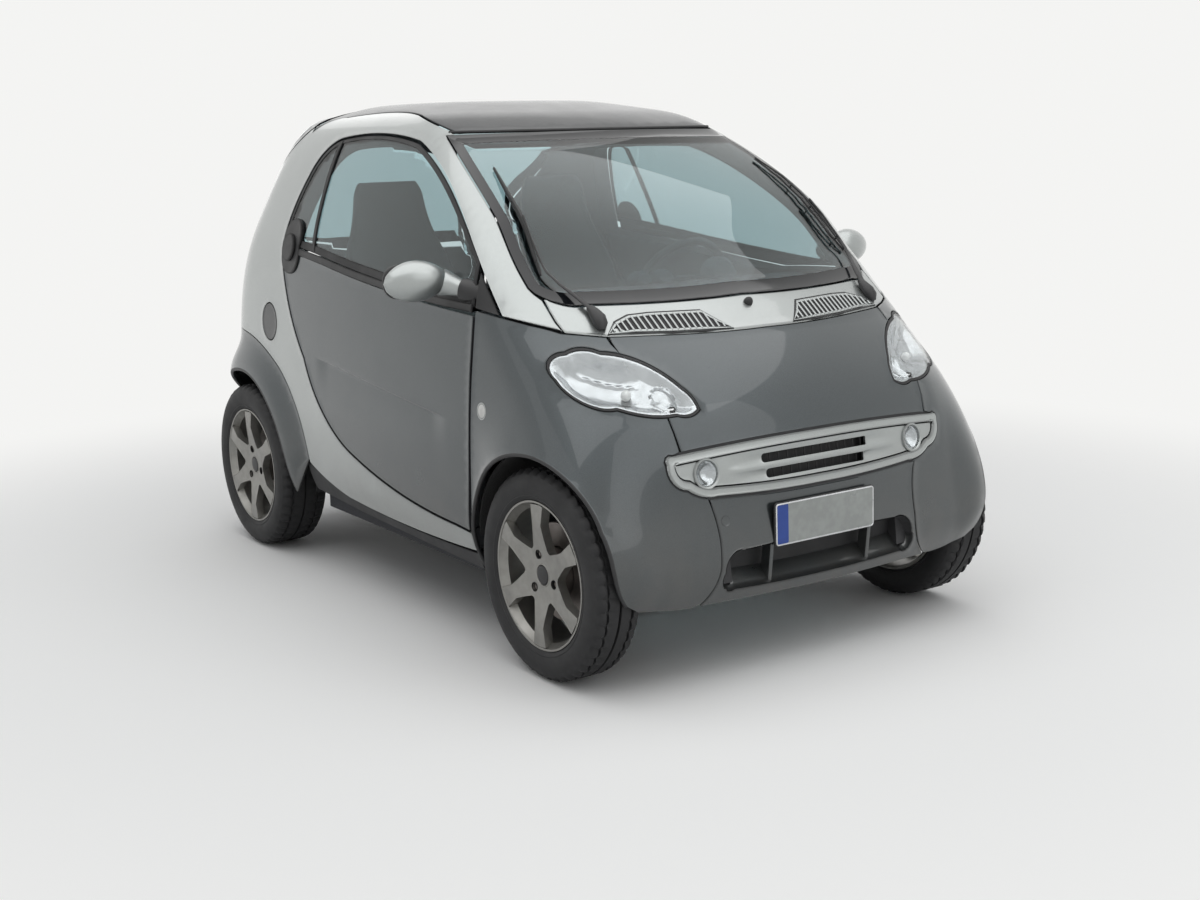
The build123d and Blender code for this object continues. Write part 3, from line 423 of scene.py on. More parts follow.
def added(name, mesh):
    """An object of the scene that shows a mesh."""
    piece = bpy.data.objects.new(name, mesh)
    bpy.context.scene.collection.objects.link(piece)
    return piece


def mesh_piece(name, points, faces, materials, corner_normals=None, face_material=None, sharp=None):
    """A mesh object from points in millimetres."""
    mesh = bpy.data.meshes.new(name)
    mesh.from_pydata((np.asarray(points, float) * MM).tolist(), [], [list(map(int, f)) for f in faces])
    for material in materials:
        mesh.materials.append(material)
    mesh.polygons.foreach_set("use_smooth", [True] * len(mesh.polygons))
    if face_material is not None:
        mesh.polygons.foreach_set("material_index", face_material)
    if corner_normals is not None:
        mesh.normals_split_custom_set(np.asarray(corner_normals, float).tolist())
    elif sharp:
        mesh.set_sharp_from_angle(angle=math.radians(sharp))
    return added(name, mesh)


def flipped(name, piece):
    """The same piece on the other side of the car."""
    mesh, twin = piece.data, bpy.data.meshes.new(name)
    normals, points = np.zeros(len(mesh.loops) * 3), np.zeros(len(mesh.vertices) * 3)
    mesh.corner_normals.foreach_get("vector", normals)
    mesh.vertices.foreach_get("co", points)
    order = [i for f in mesh.polygons for i in reversed(f.loop_indices)]
    twin.from_pydata((points.reshape(-1, 3) * ACROSS).tolist(), [], [list(reversed(f.vertices)) for f in mesh.polygons])
    for material in mesh.materials:
        twin.materials.append(material)
    for mark in ("use_smooth", "material_index"):
        twin.polygons.foreach_set(mark, [getattr(f, mark) for f in mesh.polygons])
    twin.normals_split_custom_set((normals.reshape(-1, 3)[order] * ACROSS).tolist())
    return added(name, twin)


def both(piece, bodies, replaced=()):
    """Let a right-hand piece ride, and its mirror image on the left."""
    twin = flipped(piece.name.replace("right", "left"), piece)
    for one, side in ((piece, "right"), (twin, "left")):
        ride(one, bodies if isinstance(bodies, str) else bodies[side], [f"{node}_{side}" for node in replaced])


def tessellate(loops, step, margin=0.55):
    """Grid points inside the first outline and outside the others."""
    low, high = loops[0].min(0), loops[0].max(0)
    xs = np.arange(low[0], high[0], step)
    ys = np.arange(low[1], high[1], step * 0.866)
    grid = np.array([(x + (j % 2) * step / 2, y) for j, y in enumerate(ys) for x in xs]).reshape(-1, 2)
    grid = grid[inside(grid, loops[0])]
    for hole in loops[1:]:
        grid = grid[~inside(grid, hole)]
    for edge in loops:
        grid = grid[distance_to(grid, edge) > step * margin]
    return grid


def closed_edges(rings):
    """Index pairs round each of several rings of points that follow each other."""
    edges, first = [], 0
    for ring in rings:
        edges += [(first + k, first + (k + 1) % len(ring)) for k in range(len(ring))]
        first += len(ring)
    return edges


def triangulated(flat, edges):
    """Points and triangles that keep the edges, the origin of each point, and where each origin went."""
    out = delaunay_2d_cdt([Vector(p) for p in flat], edges, [], 0, 1e-4)
    back = {one: k for k, ids in enumerate(out[3]) for one in ids}
    return (np.array([tuple(v) for v in out[0]]), np.array([f for f in out[2] if len(f) == 3]),
            [ids[0] if ids else -1 for ids in out[3]], back)


EDGE_LEAN = (1.0, 0.6, 0.12)     # how far the shading leans outward at the rings of a rolled edge


def panel(name, outline, material, datum="side", holes=(), gap=1.6, roll=2.2, thick=3.0,
          step=20, raised=True, sink=0.0, surface=None, inner=None, creases=()):
    """A sheet of the body skin inside an outline, with rolled edges and a thickness.

    inner is the finish of its inner face and of its edge walls, where that differs.  Where it is the
    dark lining, the edge walls show painted shade, so that seams and edges seen through glass look dark.
    creases are lines that the mesh follows, so that a fold in the surface stays sharp.
    """
    loops = [np.asarray(outline)] + [np.asarray(hole) for hole in holes]
    rings, depth = [], []
    for number, points in enumerate(loops):
        for amount, down in ((0, roll), (0.3 * roll, 0.3 * roll), (roll, 0)):
            rings.append(inset(points, (gap + amount) * (-1 if number else 1)))
            depth.append(np.full(len(points), down))
    edges, first = closed_edges(rings), sum(map(len, rings))
    lines = [line[inside(line, rings[2])] for line in creases]
    for line in lines:
        edges += [(first + k, first + k + 1) for k in range(len(line) - 1)]
        first += len(line)
    grid = tessellate(rings[2::3], step)
    for line in lines:
        grid = grid[distance_to(grid, line) > step * 0.3]
    flat = np.concatenate(rings + lines + [grid])
    depth = np.concatenate(depth + [np.zeros(len(flat) - sum(map(len, rings)))])
    flat, faces, origin, back = triangulated(flat.tolist(), edges)
    deep = np.array([depth[o] if o >= 0 else 0 for o in origin])
    middle = flat[faces].mean(1)
    keep = inside(middle, rings[0])
    for ring in rings[3::3]:
        keep &= ~inside(middle, ring)
    faces = faces[keep]
    point, normal = surface(*flat.T) if surface else body_point(*flat.T, datum, raised)
    shading, first, walls = normal.copy(), 0, []
    for number, ring in enumerate(rings):
        ids = np.array([back[first + k] for k in range(len(ring))])
        along = np.roll(point[ids], -1, 0) - np.roll(point[ids], 1, 0)
        away = unit(np.cross(along, normal[ids]) * (1 if number < 3 else -1))
        lean = EDGE_LEAN[number % 3]
        shading[ids] = unit(normal[ids] * (1 - lean * 0.75) + away * lean)
        if number % 3 == 0:
            walls.append(ids)
        first += len(ring)
    top = point - normal * (deep + sink)[:, None]
    under = point - normal * (sink + max(thick, roll + 0.4))
    total = len(top)
    turn = np.cross(top[faces[:, 1]] - top[faces[:, 0]], top[faces[:, 2]] - top[faces[:, 0]])
    facing = (turn * normal[faces[:, 0]]).sum(1) > 0
    faces = np.where(facing[:, None], faces, faces[:, ::-1])
    every = faces.tolist() + (faces[:, ::-1] + total).tolist()
    corners = [*shading[faces].reshape(-1, 3), *(-normal[faces[:, ::-1]]).reshape(-1, 3)]
    for ids in walls:
        for a, b in zip(ids, np.roll(ids, -1)):
            quad = [a, b, b + total, a + total]
            if np.cross(top[b] - top[a], under[a] - top[a]) @ shading[a] <= 0:
                quad.reverse()
            every.append(quad)
            corners += [shading[v % total] for v in quad]
    # the edge walls take the inner finish too: the dark lining there is painted shade in the seams and through the
    # glass, where the real edges are painted
    marks = [0] * len(faces) + [1 if inner else 0] * (len(every) - len(faces))
    return mesh_piece(name, np.concatenate([top, under]), every, [material] + ([inner] if inner else []), corners,
                      marks)


def band(rows, count, closed=False, turned=False):
    """Quads between neighbouring rings of count points; closed joins the last ring to the first."""
    quads = [(r * count + k, r * count + (k + 1) % count, (r + 1) % rows * count + (k + 1) % count,
              (r + 1) % rows * count + k) for r in range(rows if closed else rows - 1) for k in range(count)]
    return [(a, d, c, b) for a, b, c, d in quads] if turned else quads


def ends(rows, count):
    """The faces that close the first and the last ring."""
    return [list(range(count))[::-1], list(range((rows - 1) * count, rows * count))]


def lathe(profile, count):
    """Rings of points about the Y axis: profile rows are (radius, y)."""
    radius, across = np.array(profile, float).T[..., None]
    angle = np.linspace(0, 2 * np.pi, count, endpoint=False)
    points = np.stack([radius * np.cos(angle), np.repeat(across, count, 1), radius * np.sin(angle)], -1)
    return points.reshape(-1, 3), band(len(profile), count)


def joined(name, parts, materials, sharp=35):
    """One object from several (points, faces, material number) parts."""
    points, faces, marks, base = [], [], [], 0
    for part_points, part_faces, mark in parts:
        points.append(np.asarray(part_points, float))
        faces += [[v + base for v in face] for face in part_faces]
        marks += [mark] * len(part_faces)
        base += len(part_points)
    return mesh_piece(name, np.concatenate(points), faces, materials, face_material=marks, sharp=sharp)


def tube(path, radius, sides=12, closed=False, flat=1.0):
    """A bar of round section along a path of points; radius may vary along it."""
    path = np.array(path, float)
    ahead = np.roll(path, -1, 0) - np.roll(path, 1, 0)
    if not closed:
        ahead[0], ahead[-1] = path[1] - path[0], path[-1] - path[-2]
    ahead = unit(ahead)
    up = np.array([0, 0, 1.0]) if abs(ahead[0][2]) < 0.9 else np.array([1.0, 0, 0])
    points = []
    for place_at, way, size in zip(path, ahead, np.broadcast_to(radius, len(path))):
        side = unit(np.cross(way, up))
        up = np.cross(side, way)
        for a in (2 * np.pi * k / sides for k in range(sides)):
            points.append(place_at + size * (side * math.cos(a) + up * math.sin(a) * flat))
    return np.array(points), band(len(path), sides, closed) + ([] if closed else ends(len(path), sides))


def slab(outline, low, high, plane="xz", bevel=0.0):
    """A plate: a closed outline in a plane, between two values across it."""
    outline = facing_in(np.array(outline, float))
    rows = [(bevel, low), (0, low + bevel), (0, high - bevel), (bevel, high)] if bevel else [(0, low), (0, high)]
    points = []
    for amount, across in rows:
        for a, b in inset(outline, amount) if amount else outline:
            points.append({"xz": (a, across, b), "yz": (across, a, b)}[plane])
    faces = band(len(rows), len(outline)) + ends(len(rows), len(outline))
    return np.array(points), [face[::-1] for face in faces] if plane == "xz" else faces


def rounded(width, height, corner, centre=(0, 0), parts=6):
    """Outline of a rectangle with rounded corners."""
    points = []
    for k, (sx, sy) in enumerate(((1, 1), (-1, 1), (-1, -1), (1, -1))):
        cx, cy = centre[0] + sx * (width / 2 - corner), centre[1] + sy * (height / 2 - corner)
        points += [(cx + corner * math.cos(math.pi / 2 * (k + j / parts)),
                    cy + corner * math.sin(math.pi / 2 * (k + j / parts))) for j in range(parts + 1)]
    return points


def circle(centre, radius, count=40, first=0.0):
    """Points round a circle, from a first angle on."""
    angles = [first + 2 * math.pi * k / count for k in range(count)]
    return [(centre[0] + radius * math.cos(angle), centre[1] + radius * math.sin(angle)) for angle in angles]


def bevelled(piece, width, segments, angle):
    """Bevel a piece's edges and keep it shaded smooth between them."""
    bevel = piece.modifiers.new("edge", "BEVEL")
    bevel.width, bevel.segments = width * MM, segments
    bevel.limit_method, bevel.angle_limit = "ANGLE", math.radians(angle)
    bevel.harden_normals = True
    return piece


def subdivided(piece, levels):
    """Subdivide a piece smoothly."""
    more = piece.modifiers.new("smooth", "SUBSURF")
    more.levels = more.render_levels = levels
    return piece


# ---------------- materials
def wire(tree, node, sockets):
    """Give a node's sockets numbers, colours or the outputs of other nodes."""
    for key, value in sockets.items():
        if isinstance(value, bpy.types.NodeSocket):
            tree.links.new(value, node.inputs[key])
        else:
            node.inputs[key].default_value = value
    return node


def place(tree, kind, sockets=None, out=0, **settings):
    """One output of a new shader node, with its sockets and settings."""
    node = tree.nodes.new(kind)
    for key, value in settings.items():
        setattr(node, key, value)
    return wire(tree, node, sockets or {}).outputs[out]


def effect(tree, name, **values):
    """The output of a shader node group, placed with its own values."""
    node = tree.nodes.new("ShaderNodeGroup")
    node.node_tree = bpy.data.node_groups[name]
    return wire(tree, node, values).outputs[0]


def math_node(tree, operation, *values):
    """A maths node over sockets and numbers."""
    return place(tree, "ShaderNodeMath", dict(enumerate(values)), operation=operation)


def here(tree):
    """The place on the object, in metres."""
    return place(tree, "ShaderNodeTexCoord", out="Object")


def between(tree, share, low, high):
    """A colour between two others."""
    return place(tree, "ShaderNodeMix", {0: share, 6: low, 7: high}, 2, data_type="RGBA")


def new_group(name, output, **inputs):
    """An empty shader node group with named sockets, as (tree, its inputs, its end)."""
    tree = bpy.data.node_groups.new(name, "ShaderNodeTree")
    for key, value in inputs.items():
        kind = "NodeSocketColor" if isinstance(value, tuple) else "NodeSocketFloat"
        tree.interface.new_socket(key, in_out="INPUT", socket_type=kind).default_value = value
    kind = {"Color": "NodeSocketColor", "Normal": "NodeSocketVector", "Value": "NodeSocketFloat"}[output]
    tree.interface.new_socket(output, in_out="OUTPUT", socket_type=kind)
    return tree, tree.nodes.new("NodeGroupInput").outputs, tree.nodes.new("NodeGroupOutput")


def build_groups():
    """The shader node groups that several finishes use."""
    tree, given, end = new_group("speckle", "Color", Scale=900.0, Light=(1, 1, 1, 1), Dark=(0, 0, 0, 1), Amount=0.5)
    grain = place(tree, "ShaderNodeTexNoise", {"Vector": here(tree), "Scale": given["Scale"], "Detail": 2.0})
    spread = place(tree, "ShaderNodeMapRange", {"Value": grain, "From Min": 0.35, "From Max": 0.65})
    amount = math_node(tree, "MULTIPLY", spread, given["Amount"])
    wire(tree, end, {"Color": between(tree, amount, given["Dark"], given["Light"])})

    tree, given, end = new_group("grime", "Color", Color=(0.5, 0.5, 0.5, 1), Dirt=(0.16, 0.14, 0.12, 1), Foot=0.20,
                                 Head=0.60, Amount=0.5)
    height = place(tree, "ShaderNodeSeparateXYZ", {"Vector": here(tree)}, 2)
    fade = place(tree, "ShaderNodeMapRange", {"Value": height, "From Min": given["Head"], "From Max": given["Foot"]})
    cloud = place(tree, "ShaderNodeTexNoise", {"Vector": here(tree), "Scale": 9.0, "Detail": 6.0, "Roughness": 0.65})
    mask = math_node(tree, "MULTIPLY", math_node(tree, "MULTIPLY", fade, cloud), given["Amount"])
    wire(tree, end, {"Color": between(tree, mask, given["Color"], given["Dirt"])})

    tree, given, end = new_group("droplets", "Normal", Scale=120.0, Amount=0.35, Strength=0.4, Distance=0.0006)
    wander = place(tree, "ShaderNodeTexNoise", {"Vector": here(tree), "Scale": 60.0, "Detail": 1.0}, "Color")
    drift = place(tree, "ShaderNodeMix", {0: 0.006, 4: here(tree), 5: wander}, 1, data_type="VECTOR")
    drop = place(tree, "ShaderNodeTexVoronoi", {"Vector": drift, "Scale": given["Scale"]}, "Distance", feature="F1")
    size = place(tree, "ShaderNodeSeparateColor", {"Color": drop.node.outputs["Color"]})
    least = math_node(tree, "SUBTRACT", 1.0, given["Amount"])
    radius = math_node(tree, "MULTIPLY", math_node(tree, "SUBTRACT", size, least), 1.1)
    bead = place(tree, "ShaderNodeMapRange", {"Value": math_node(tree, "SUBTRACT", radius, drop), "From Max": 0.22},
                 interpolation_type="SMOOTHSTEP")
    wire(tree, end, {"Normal": place(tree, "ShaderNodeBump", {
        "Height": bead, "Strength": given["Strength"], "Distance": given["Distance"]})})

    tree, given, end = new_group("pebble", "Normal", Scale=400.0, Strength=0.3, Distance=0.0004)
    grain = place(tree, "ShaderNodeTexVoronoi", {"Vector": here(tree), "Scale": given["Scale"]}, "Distance",
                  feature="SMOOTH_F1")
    wire(tree, end, {"Normal": place(tree, "ShaderNodeBump", {
        "Height": grain, "Strength": given["Strength"], "Distance": given["Distance"]})})

    tree, given, end = new_group("blotch", "Value", Scale=14.0, Low=0.3, High=0.6)
    cloud = place(tree, "ShaderNodeTexNoise", {"Vector": here(tree), "Scale": given["Scale"], "Detail": 5.0,
                                               "Roughness": 0.6})
    wire(tree, end, {"Value": place(tree, "ShaderNodeMapRange", {
        "Value": cloud, "From Min": 0.3, "From Max": 0.7, "To Min": given["Low"], "To Max": given["High"]})})


def new_material(name):
    """A material with its principled shader, as (material, tree, shader)."""
    material = bpy.data.materials.new(name)
    material.use_nodes = True
    return material, material.node_tree, material.node_tree.nodes["Principled BSDF"]


def flecked(tree, color, scale, lift, amount):
    """A colour with lighter flecks in it."""
    light = tuple(min(1, c * lift) for c in color[:3]) + (1,)
    return effect(tree, "speckle", Scale=scale, Light=light, Dark=color, Amount=amount)


def paint(name, light, dark, metallic, roughness, wet=0.30, dirt=0.5, lacquer=0.9, shine=0.04):
    """Metallic car paint under clear lacquer, with rain beads and road dirt low down."""
    material, tree, shader = new_material(name)
    flake = effect(tree, "speckle", Scale=1500.0, Light=light, Dark=dark, Amount=1.0)
    wire(tree, shader, {
        "Base Color": effect(tree, "grime", Color=flake, Amount=dirt), "Metallic": metallic,
        "Roughness": effect(tree, "blotch", Scale=6.0, Low=roughness - 0.05, High=roughness + 0.06),
        "Coat Weight": lacquer, "Coat Roughness": shine,
        "Normal": effect(tree, "droplets", Amount=wet, Scale=130.0, Strength=0.3)})
    return material


def moulded(name, color, roughness=0.5, scale=500.0, strength=0.25, metallic=0.0):
    """Moulded plastic or rubber with a fine pebble grain and uneven shine."""
    material, tree, shader = new_material(name)
    wire(tree, shader, {
        "Base Color": flecked(tree, color, 40.0, 1.25, 0.6), "Metallic": metallic,
        "Roughness": effect(tree, "blotch", Scale=12.0, Low=roughness - 0.08, High=roughness + 0.08),
        "Normal": effect(tree, "pebble", Scale=scale, Strength=strength)})
    return material


def clear(name, color, roughness=0.01, ior=1.45, wet=0.0):
    """Clear or tinted glass, with rain beads on it."""
    material, tree, shader = new_material(name)
    wire(tree, shader, {"Base Color": color, "Transmission Weight": 1.0, "Roughness": roughness, "IOR": ior})
    if wet:
        wire(tree, shader, {"Normal": effect(tree, "droplets", Amount=wet, Scale=110.0, Strength=0.6)})
    return material


build_groups()
GREY = paint("grey_paint", (0.074, 0.088, 0.094, 1), (0.036, 0.043, 0.047, 1), metallic=0.72, roughness=0.32)
SILVER = paint("silver_paint", (0.44, 0.465, 0.46, 1), (0.30, 0.318, 0.314, 1), metallic=0.78, roughness=0.34,
               wet=0.22)
ROOF_BLACK = paint("roof_black", (0.030, 0.032, 0.035, 1), (0.014, 0.015, 0.017, 1), metallic=0.0, roughness=0.45,
                   wet=0.5, dirt=0.0, lacquer=0.5, shine=0.14)
BLACK_TRIM = moulded("black_trim", (0.018, 0.018, 0.019, 1), roughness=0.45, scale=700.0)
SEAL = moulded("rubber_seal", (0.012, 0.012, 0.013, 1), roughness=0.55, scale=900.0, strength=0.15)
# dark moulding for black parts, also used as painted shade: the shadow round the grille and the jamb behind the door's
# front seam
DARK_MOULDING_AND_SHADE = moulded("dark_moulding_and_shade", (0.03, 0.03, 0.032, 1), roughness=0.62, scale=350.0, strength=0.4)
FRIT = moulded("glass_border", (0.008, 0.009, 0.011, 1), roughness=0.10, scale=300.0, strength=0.02)
GLASS = clear("tinted_glass", (0.50, 0.62, 0.64, 1), wet=0.12)
# interior lining, also given to the edge walls of the doors and side frames as painted shade
LINING_AND_SEAM_SHADE = moulded("interior_lining_and_seam_shade", (0.055, 0.057, 0.062, 1), roughness=0.6, scale=600.0, strength=0.35)
LENS = clear("lamp_lens", (0.93, 0.95, 0.96, 1), roughness=0.02, ior=1.3)

# ---------------- seams
DOOR_LEGS = ((564, 338), [
    ((598, 560), (608, 780)), ((609, 870), (605, 956)), ((600, 1020), (590, 1081)),
    ((330, 1275), (72, 1390)), ((-190, 1416), (-405, 1406)), ((-500, 1370), (-560, 1290)),
    ((-598, 1190), (-618, 1060)), ((-548, 885), (-428, 721)), ((-318, 568), (-147, 460)),
    ((110, 392), (486, 345)), (None, (564, 338))])
BELT_LEGS = ((700, 945), [((100, 988), (-300, 1035)), (None, (-700, 1080))])
DOOR_SIDE = run(*DOOR_LEGS)


def above_belt(points, lift=0):
    """Which side-view points lie above the belt line."""
    belt = np.array(run(*BELT_LEGS, spacing=20))[::-1]
    return np.array([z > np.interp(x, belt[:, 0], belt[:, 1]) + lift for x, z in points])


def cut_at_belt(points, upper, lift=0):
    """The part of a closed side outline above or below the belt line, closed along it."""
    belt = np.array(run(*BELT_LEGS, spacing=10))[::-1]
    high = above_belt(points, lift) == upper
    count = len(points)
    k = first = next(k for k in range(count) if high[k] and not high[k - 1])
    part = []
    while high[k % count]:
        part.append(tuple(points[k % count]))
        k += 1
    before, after = points[first - 1], points[k % count]

    def meet(a, b):
        for t in np.linspace(0, 1, 60):
            x, z = a[0] + (b[0] - a[0]) * t, a[1] + (b[1] - a[1]) * t
            if (z > np.interp(x, belt[:, 0], belt[:, 1]) + lift) == upper:
                return x, z
        return b

    start, end = meet(before, part[0]), meet(after, part[-1])
    left, right = sorted((start[0], end[0]))
    across = [(x, z + lift) for x, z in belt if left + 4 < x < right - 4]
    return [start, *part, end, *across[::-1 if end[0] > start[0] else 1]]


# ---------------- side frame
PILLAR_VIEW = run((-500, 1411), [((-546, 1312), (-575, 1190)), ((-589, 1100), (-595, 1014))])
FRAME_RUNS = [
    ("side", run((570, 340), [(None, (572, 277)), ((130, 272), (-200, 290)), ((-330, 320), (-456, 366)),
                              (None, (-460, 388)), ((-528, 555), (-651, 667)), ((-850, 742), (-1110, 758)),
                              ((-1150, 745), (-1160, 690)), (None, (-1168, 600))])),
    ("rear", run((-560, 600), [(None, (-436, 600)), (None, (-436, 996)), (None, (-520, 1000))])),
    ("side", run((-1150, 1002), [((-1092, 1128), (-1020, 1215)), ((-880, 1325), (-720, 1446)),
                                 (None, (-706, 1430)), ((-650, 1462), (-560, 1474)), ((-300, 1484), (-80, 1471)),
                                 ((60, 1446), (150, 1424)), (None, (180, 1412))])),
    ("front", PILLAR_VIEW + [(-590, 1000), (-580, 985), (-581, 960), (-582, 935), (-580, 913)]),
    ("side", run((863, 912), [((800, 928), (714, 944)), (None, (576, 1089)), ((330, 1281), (72, 1396)),
                               ((-190, 1422), (-405, 1412)),
                               ((-504, 1376), (-566, 1292)), ((-604, 1190), (-624, 1060)),
                               ((-554, 882), (-434, 718)), ((-323, 563), (-150, 455)),
                               ((110, 386), (486, 339)), (None, (566, 332))])),
]
FRAME = loop("side", *FRAME_RUNS)
FUEL_SPOT = (-715, 812)
FUEL_HOLE = side_loop(circle(FUEL_SPOT, 63, 36))
# the side frame's edge walls take the dark lining: painted shade in its seams and through the windows
# only the right-hand side has the fuel flap's hole, so the left is the mirror image of a side without it
frame_right, mould = (panel(f"side_frame_skin_{side}", FRAME, SILVER, holes=holes, thick=72, step=22, inner=LINING_AND_SEAM_SHADE)
                      for side, holes in (("right", [FUEL_HOLE]), ("mould", [])))
frame_left = flipped("side_frame_skin_left", mould)
bpy.data.objects.remove(mould)
ride(frame_right, "chassis", ["side_frame_right"])
ride(frame_left, "chassis", ["side_frame_left"])


def nose_piece(name, outline, material, slot, replaced=(), **facts):
    """A panel on the nose, riding on the body."""
    return ride(panel(name, facing_in(np.asarray(outline)), material, "nose", **facts), "chassis", replaced)


def arch_lip(name, flat, radius):
    """A rubber lip along the edge of a wheel arch."""
    point, normal = body_point(*flat.T)
    both(joined(name, [(*tube(point - normal * 6, radius, 10), 0)], [BLACK_TRIM], sharp=70), "chassis")


DOORS = {"right": "door_right", "left": "door_left"}
WINDOW = side_loop(cut_at_belt(DOOR_SIDE, True, 22))
CREASES = [settle([(x, crease_height(x) + rise) for x in range(-440, 541, 14)], "side", "side")
           for rise in (4, 0, -5, -14, -30)]
# the door's edge walls take the dark lining: painted shade in its seams and through its window
both(panel("door_skin_right", side_loop(cut_at_belt(DOOR_SIDE, False, -10)), GREY, thick=70, step=20, inner=LINING_AND_SEAM_SHADE,
           creases=CREASES), DOORS, ["door_panel"])
both(panel("window_border_right", side_loop(cut_at_belt(DOOR_SIDE, True, 12)), SEAL, holes=[inset(WINDOW, 16)],
           gap=1.2, roll=2.5, thick=6, sink=1.0), DOORS)
both(panel("window_pane_right", inset(WINDOW, 13), GLASS, gap=0, roll=0.6, thick=4, sink=4, step=30), DOORS,
     ["door_glass"])
belt_run = np.array(run((600, 958), [((100, 990), (-300, 1036)), (None, (-606, 1066))]))
belt_face = [(x, z + 11) for x, z in belt_run] + [(x, z - 11) for x, z in belt_run[::-1]]
both(panel("belt_moulding_right", side_loop(belt_face), BLACK_TRIM, gap=0, roll=4, thick=8, sink=-4), DOORS)

# ---------------- front
HEADLAMP_LEGS = ((-648, 797), [((-642, 842), (-602, 864)), ((-565, 874), (-527, 864)), ((-440, 838), (-369, 773)),
                               ((-350, 745), (-346, 716)), ((-372, 704), (-418, 707)), ((-495, 711), (-560, 730)),
                               ((-628, 750), (-648, 797))])
headlamp_view = np.array(run(*HEADLAMP_LEGS, spacing=9))[:-1]
HEADLAMP = loop("nose", ("front", headlamp_view))
GRILLE_VIEW = run((0, 632), [((-250, 628), (-462, 616)), ((-482, 612), (-484, 592)), ((-474, 550), (-430, 523)),
                             ((-395, 504), (-340, 498)), ((-180, 490), (0, 488))])
lamp_top = int(np.argmin(np.hypot(headlamp_view[:, 0] + 482, headlamp_view[:, 1] - 853)))
lamp_foot = int(np.argmin(np.hypot(headlamp_view[:, 0] + 446, headlamp_view[:, 1] - 708)))
lamp_inner = headlamp_view[lamp_top:lamp_foot + 1]
lamp_outer = np.concatenate([headlamp_view[lamp_foot:], headlamp_view[:lamp_top + 1]])[::-1]
COWL_FRONT = run((0, 885), [((-217, 886), (-364, 891)), ((-424, 893), (-482, 895))])

grille_top = [(y, z) for y, z in GRILLE_VIEW if z > 610 and y > -425]
grille_foot = [(y, z) for y, z in GRILLE_VIEW if z < 510 and y > -366]
HOOD = half_loop("nose", ("front", COWL_FRONT + [(-484, 880)] + lamp_inner.tolist() + [(-442, 670), (-434, 620)]
                          + [(y, z + 3) for y, z in grille_top[::-1]]))
BUMPER_SIDE = run((-372, 502), [((-352, 430), (-350, 345)), ((-362, 280), (-405, 222))])
BUMPER = half_loop("nose", ("front", [(y, z - 3) for y, z in grille_foot[::-1]] + BUMPER_SIDE
                            + run((-405, 218), [(None, (0, 212))])))
nose_piece("hood_skin", HOOD, GREY, "grey_paint", ["hood_panel"], thick=5, step=20)

INTAKE_VIEW = run((0, 354), [((-150, 355), (-268, 352)), ((-318, 342), (-336, 300)), ((-343, 275), (-338, 262)),
                             ((-330, 252), (-300, 250)), ((-150, 245), (0, 244))], spacing=11)
INTAKE = across_nose(INTAKE_VIEW)
nose_piece("front_bumper_skin", BUMPER, GREY, "grey_paint", ["front_bumper"], holes=[INTAKE], thick=10, step=20,
           roll=4)

ARCH_FRONT = run((1197, 257), [((1204, 345), (1168, 452)), ((1070, 565), (905, 610.5)), ((700, 537), (579, 196))])
GRILLE_END = [(y, z) for y, z in GRILLE_VIEW if y < -366 and z < 618]
FENDER = loop("side",
              ("side", run((573, 196), [(None, (575, 300)), ((606, 560), (616, 780)), ((617, 870), (613, 954)),
                                        ((700, 944), (795, 926)), ((832, 918), (864, 908))])),
              ("front", [(-580, 907), (-536, 902), (-486, 895), (-486, 880)] + lamp_outer.tolist()
               + [(-442, 670), (-437, 622), (-452, 619)] + GRILLE_END + BUMPER_SIDE
               + run((-430, 218), [((-500, 222), (-556, 232)), (None, (-586, 241))])),
              ("lip", ARCH_FRONT))
both(panel("front_fender_skin_right", FENDER, GREY, thick=7, step=20, roll=3), "chassis",
     ["front_fender"])

# ---------------- cowl, glass and roof
FOOT_VIEW = run((0, 966), [((-300, 964), (-480, 969)), ((-545, 974), (-576, 990))])
COWL = half_loop("nose", ("front", COWL_FRONT + [(-536, 902), (-577, 908), (-581, 935), (-580, 962), (-577, 986)]
                          + FOOT_VIEW[::-1]))
nose_piece("cowl_skin", COWL, SILVER, "silver_paint", ["cowl_panel"], thick=6, step=18, roll=4)
SCREEN = half_loop("nose", ("front", FOOT_VIEW + [(-588, 1000)] + PILLAR_VIEW[::-1]),
                           ("front", run((-488, 1413), [((-240, 1416), (0, 1417))])))
nose_piece("windscreen_border", SCREEN, FRIT, "black_plastic", holes=[inset(SCREEN, 34)], gap=2, roll=1.5, thick=5)
nose_piece("windscreen_pane", inset(SCREEN, 30), GLASS, "window_glass", ["windscreen"], gap=0, roll=0.6, thick=5,
           sink=0.8, step=34)

ROOF_GRID = 150      # points each way of the grid on which roof heights are found
roof_level = np.linspace(level_of(1340), LEVEL[-1], ROOF_GRID)
roof_half, _ = body_point(np.linspace(0, 1, ROOF_GRID)[None, :] * Contour(roof_level).length[:, None],
                          np.repeat(roof_level[:, None], ROOF_GRID, 1), "nose", raised=False)
roof_half = roof_half.reshape(-1, 3)
corner = [r * ROOF_GRID + c for r in range(ROOF_GRID - 1) for c in range(ROOF_GRID - 1)]
quads = [(v, v + 1, v + ROOF_GRID + 1, v + ROOF_GRID) for v in corner]
quads += [tuple(v + len(roof_half) for v in quad) for quad in quads]
ring = list(range((ROOF_GRID - 1) * ROOF_GRID, len(roof_half)))
quads.append(ring + [v + len(roof_half) for v in reversed(ring)])
ROOF_TREE = BVHTree.FromPolygons(np.concatenate([roof_half, roof_half * ACROSS]).tolist(), quads)


def roof_height(x, y):
    """Height of the roof at each plan point."""
    found = [ROOF_TREE.ray_cast(Vector((a, b, 2000)), Vector((0, 0, -1)))[0] for a, b in zip(x, y)]
    return np.array([point.z if point else 1400 for point in found])


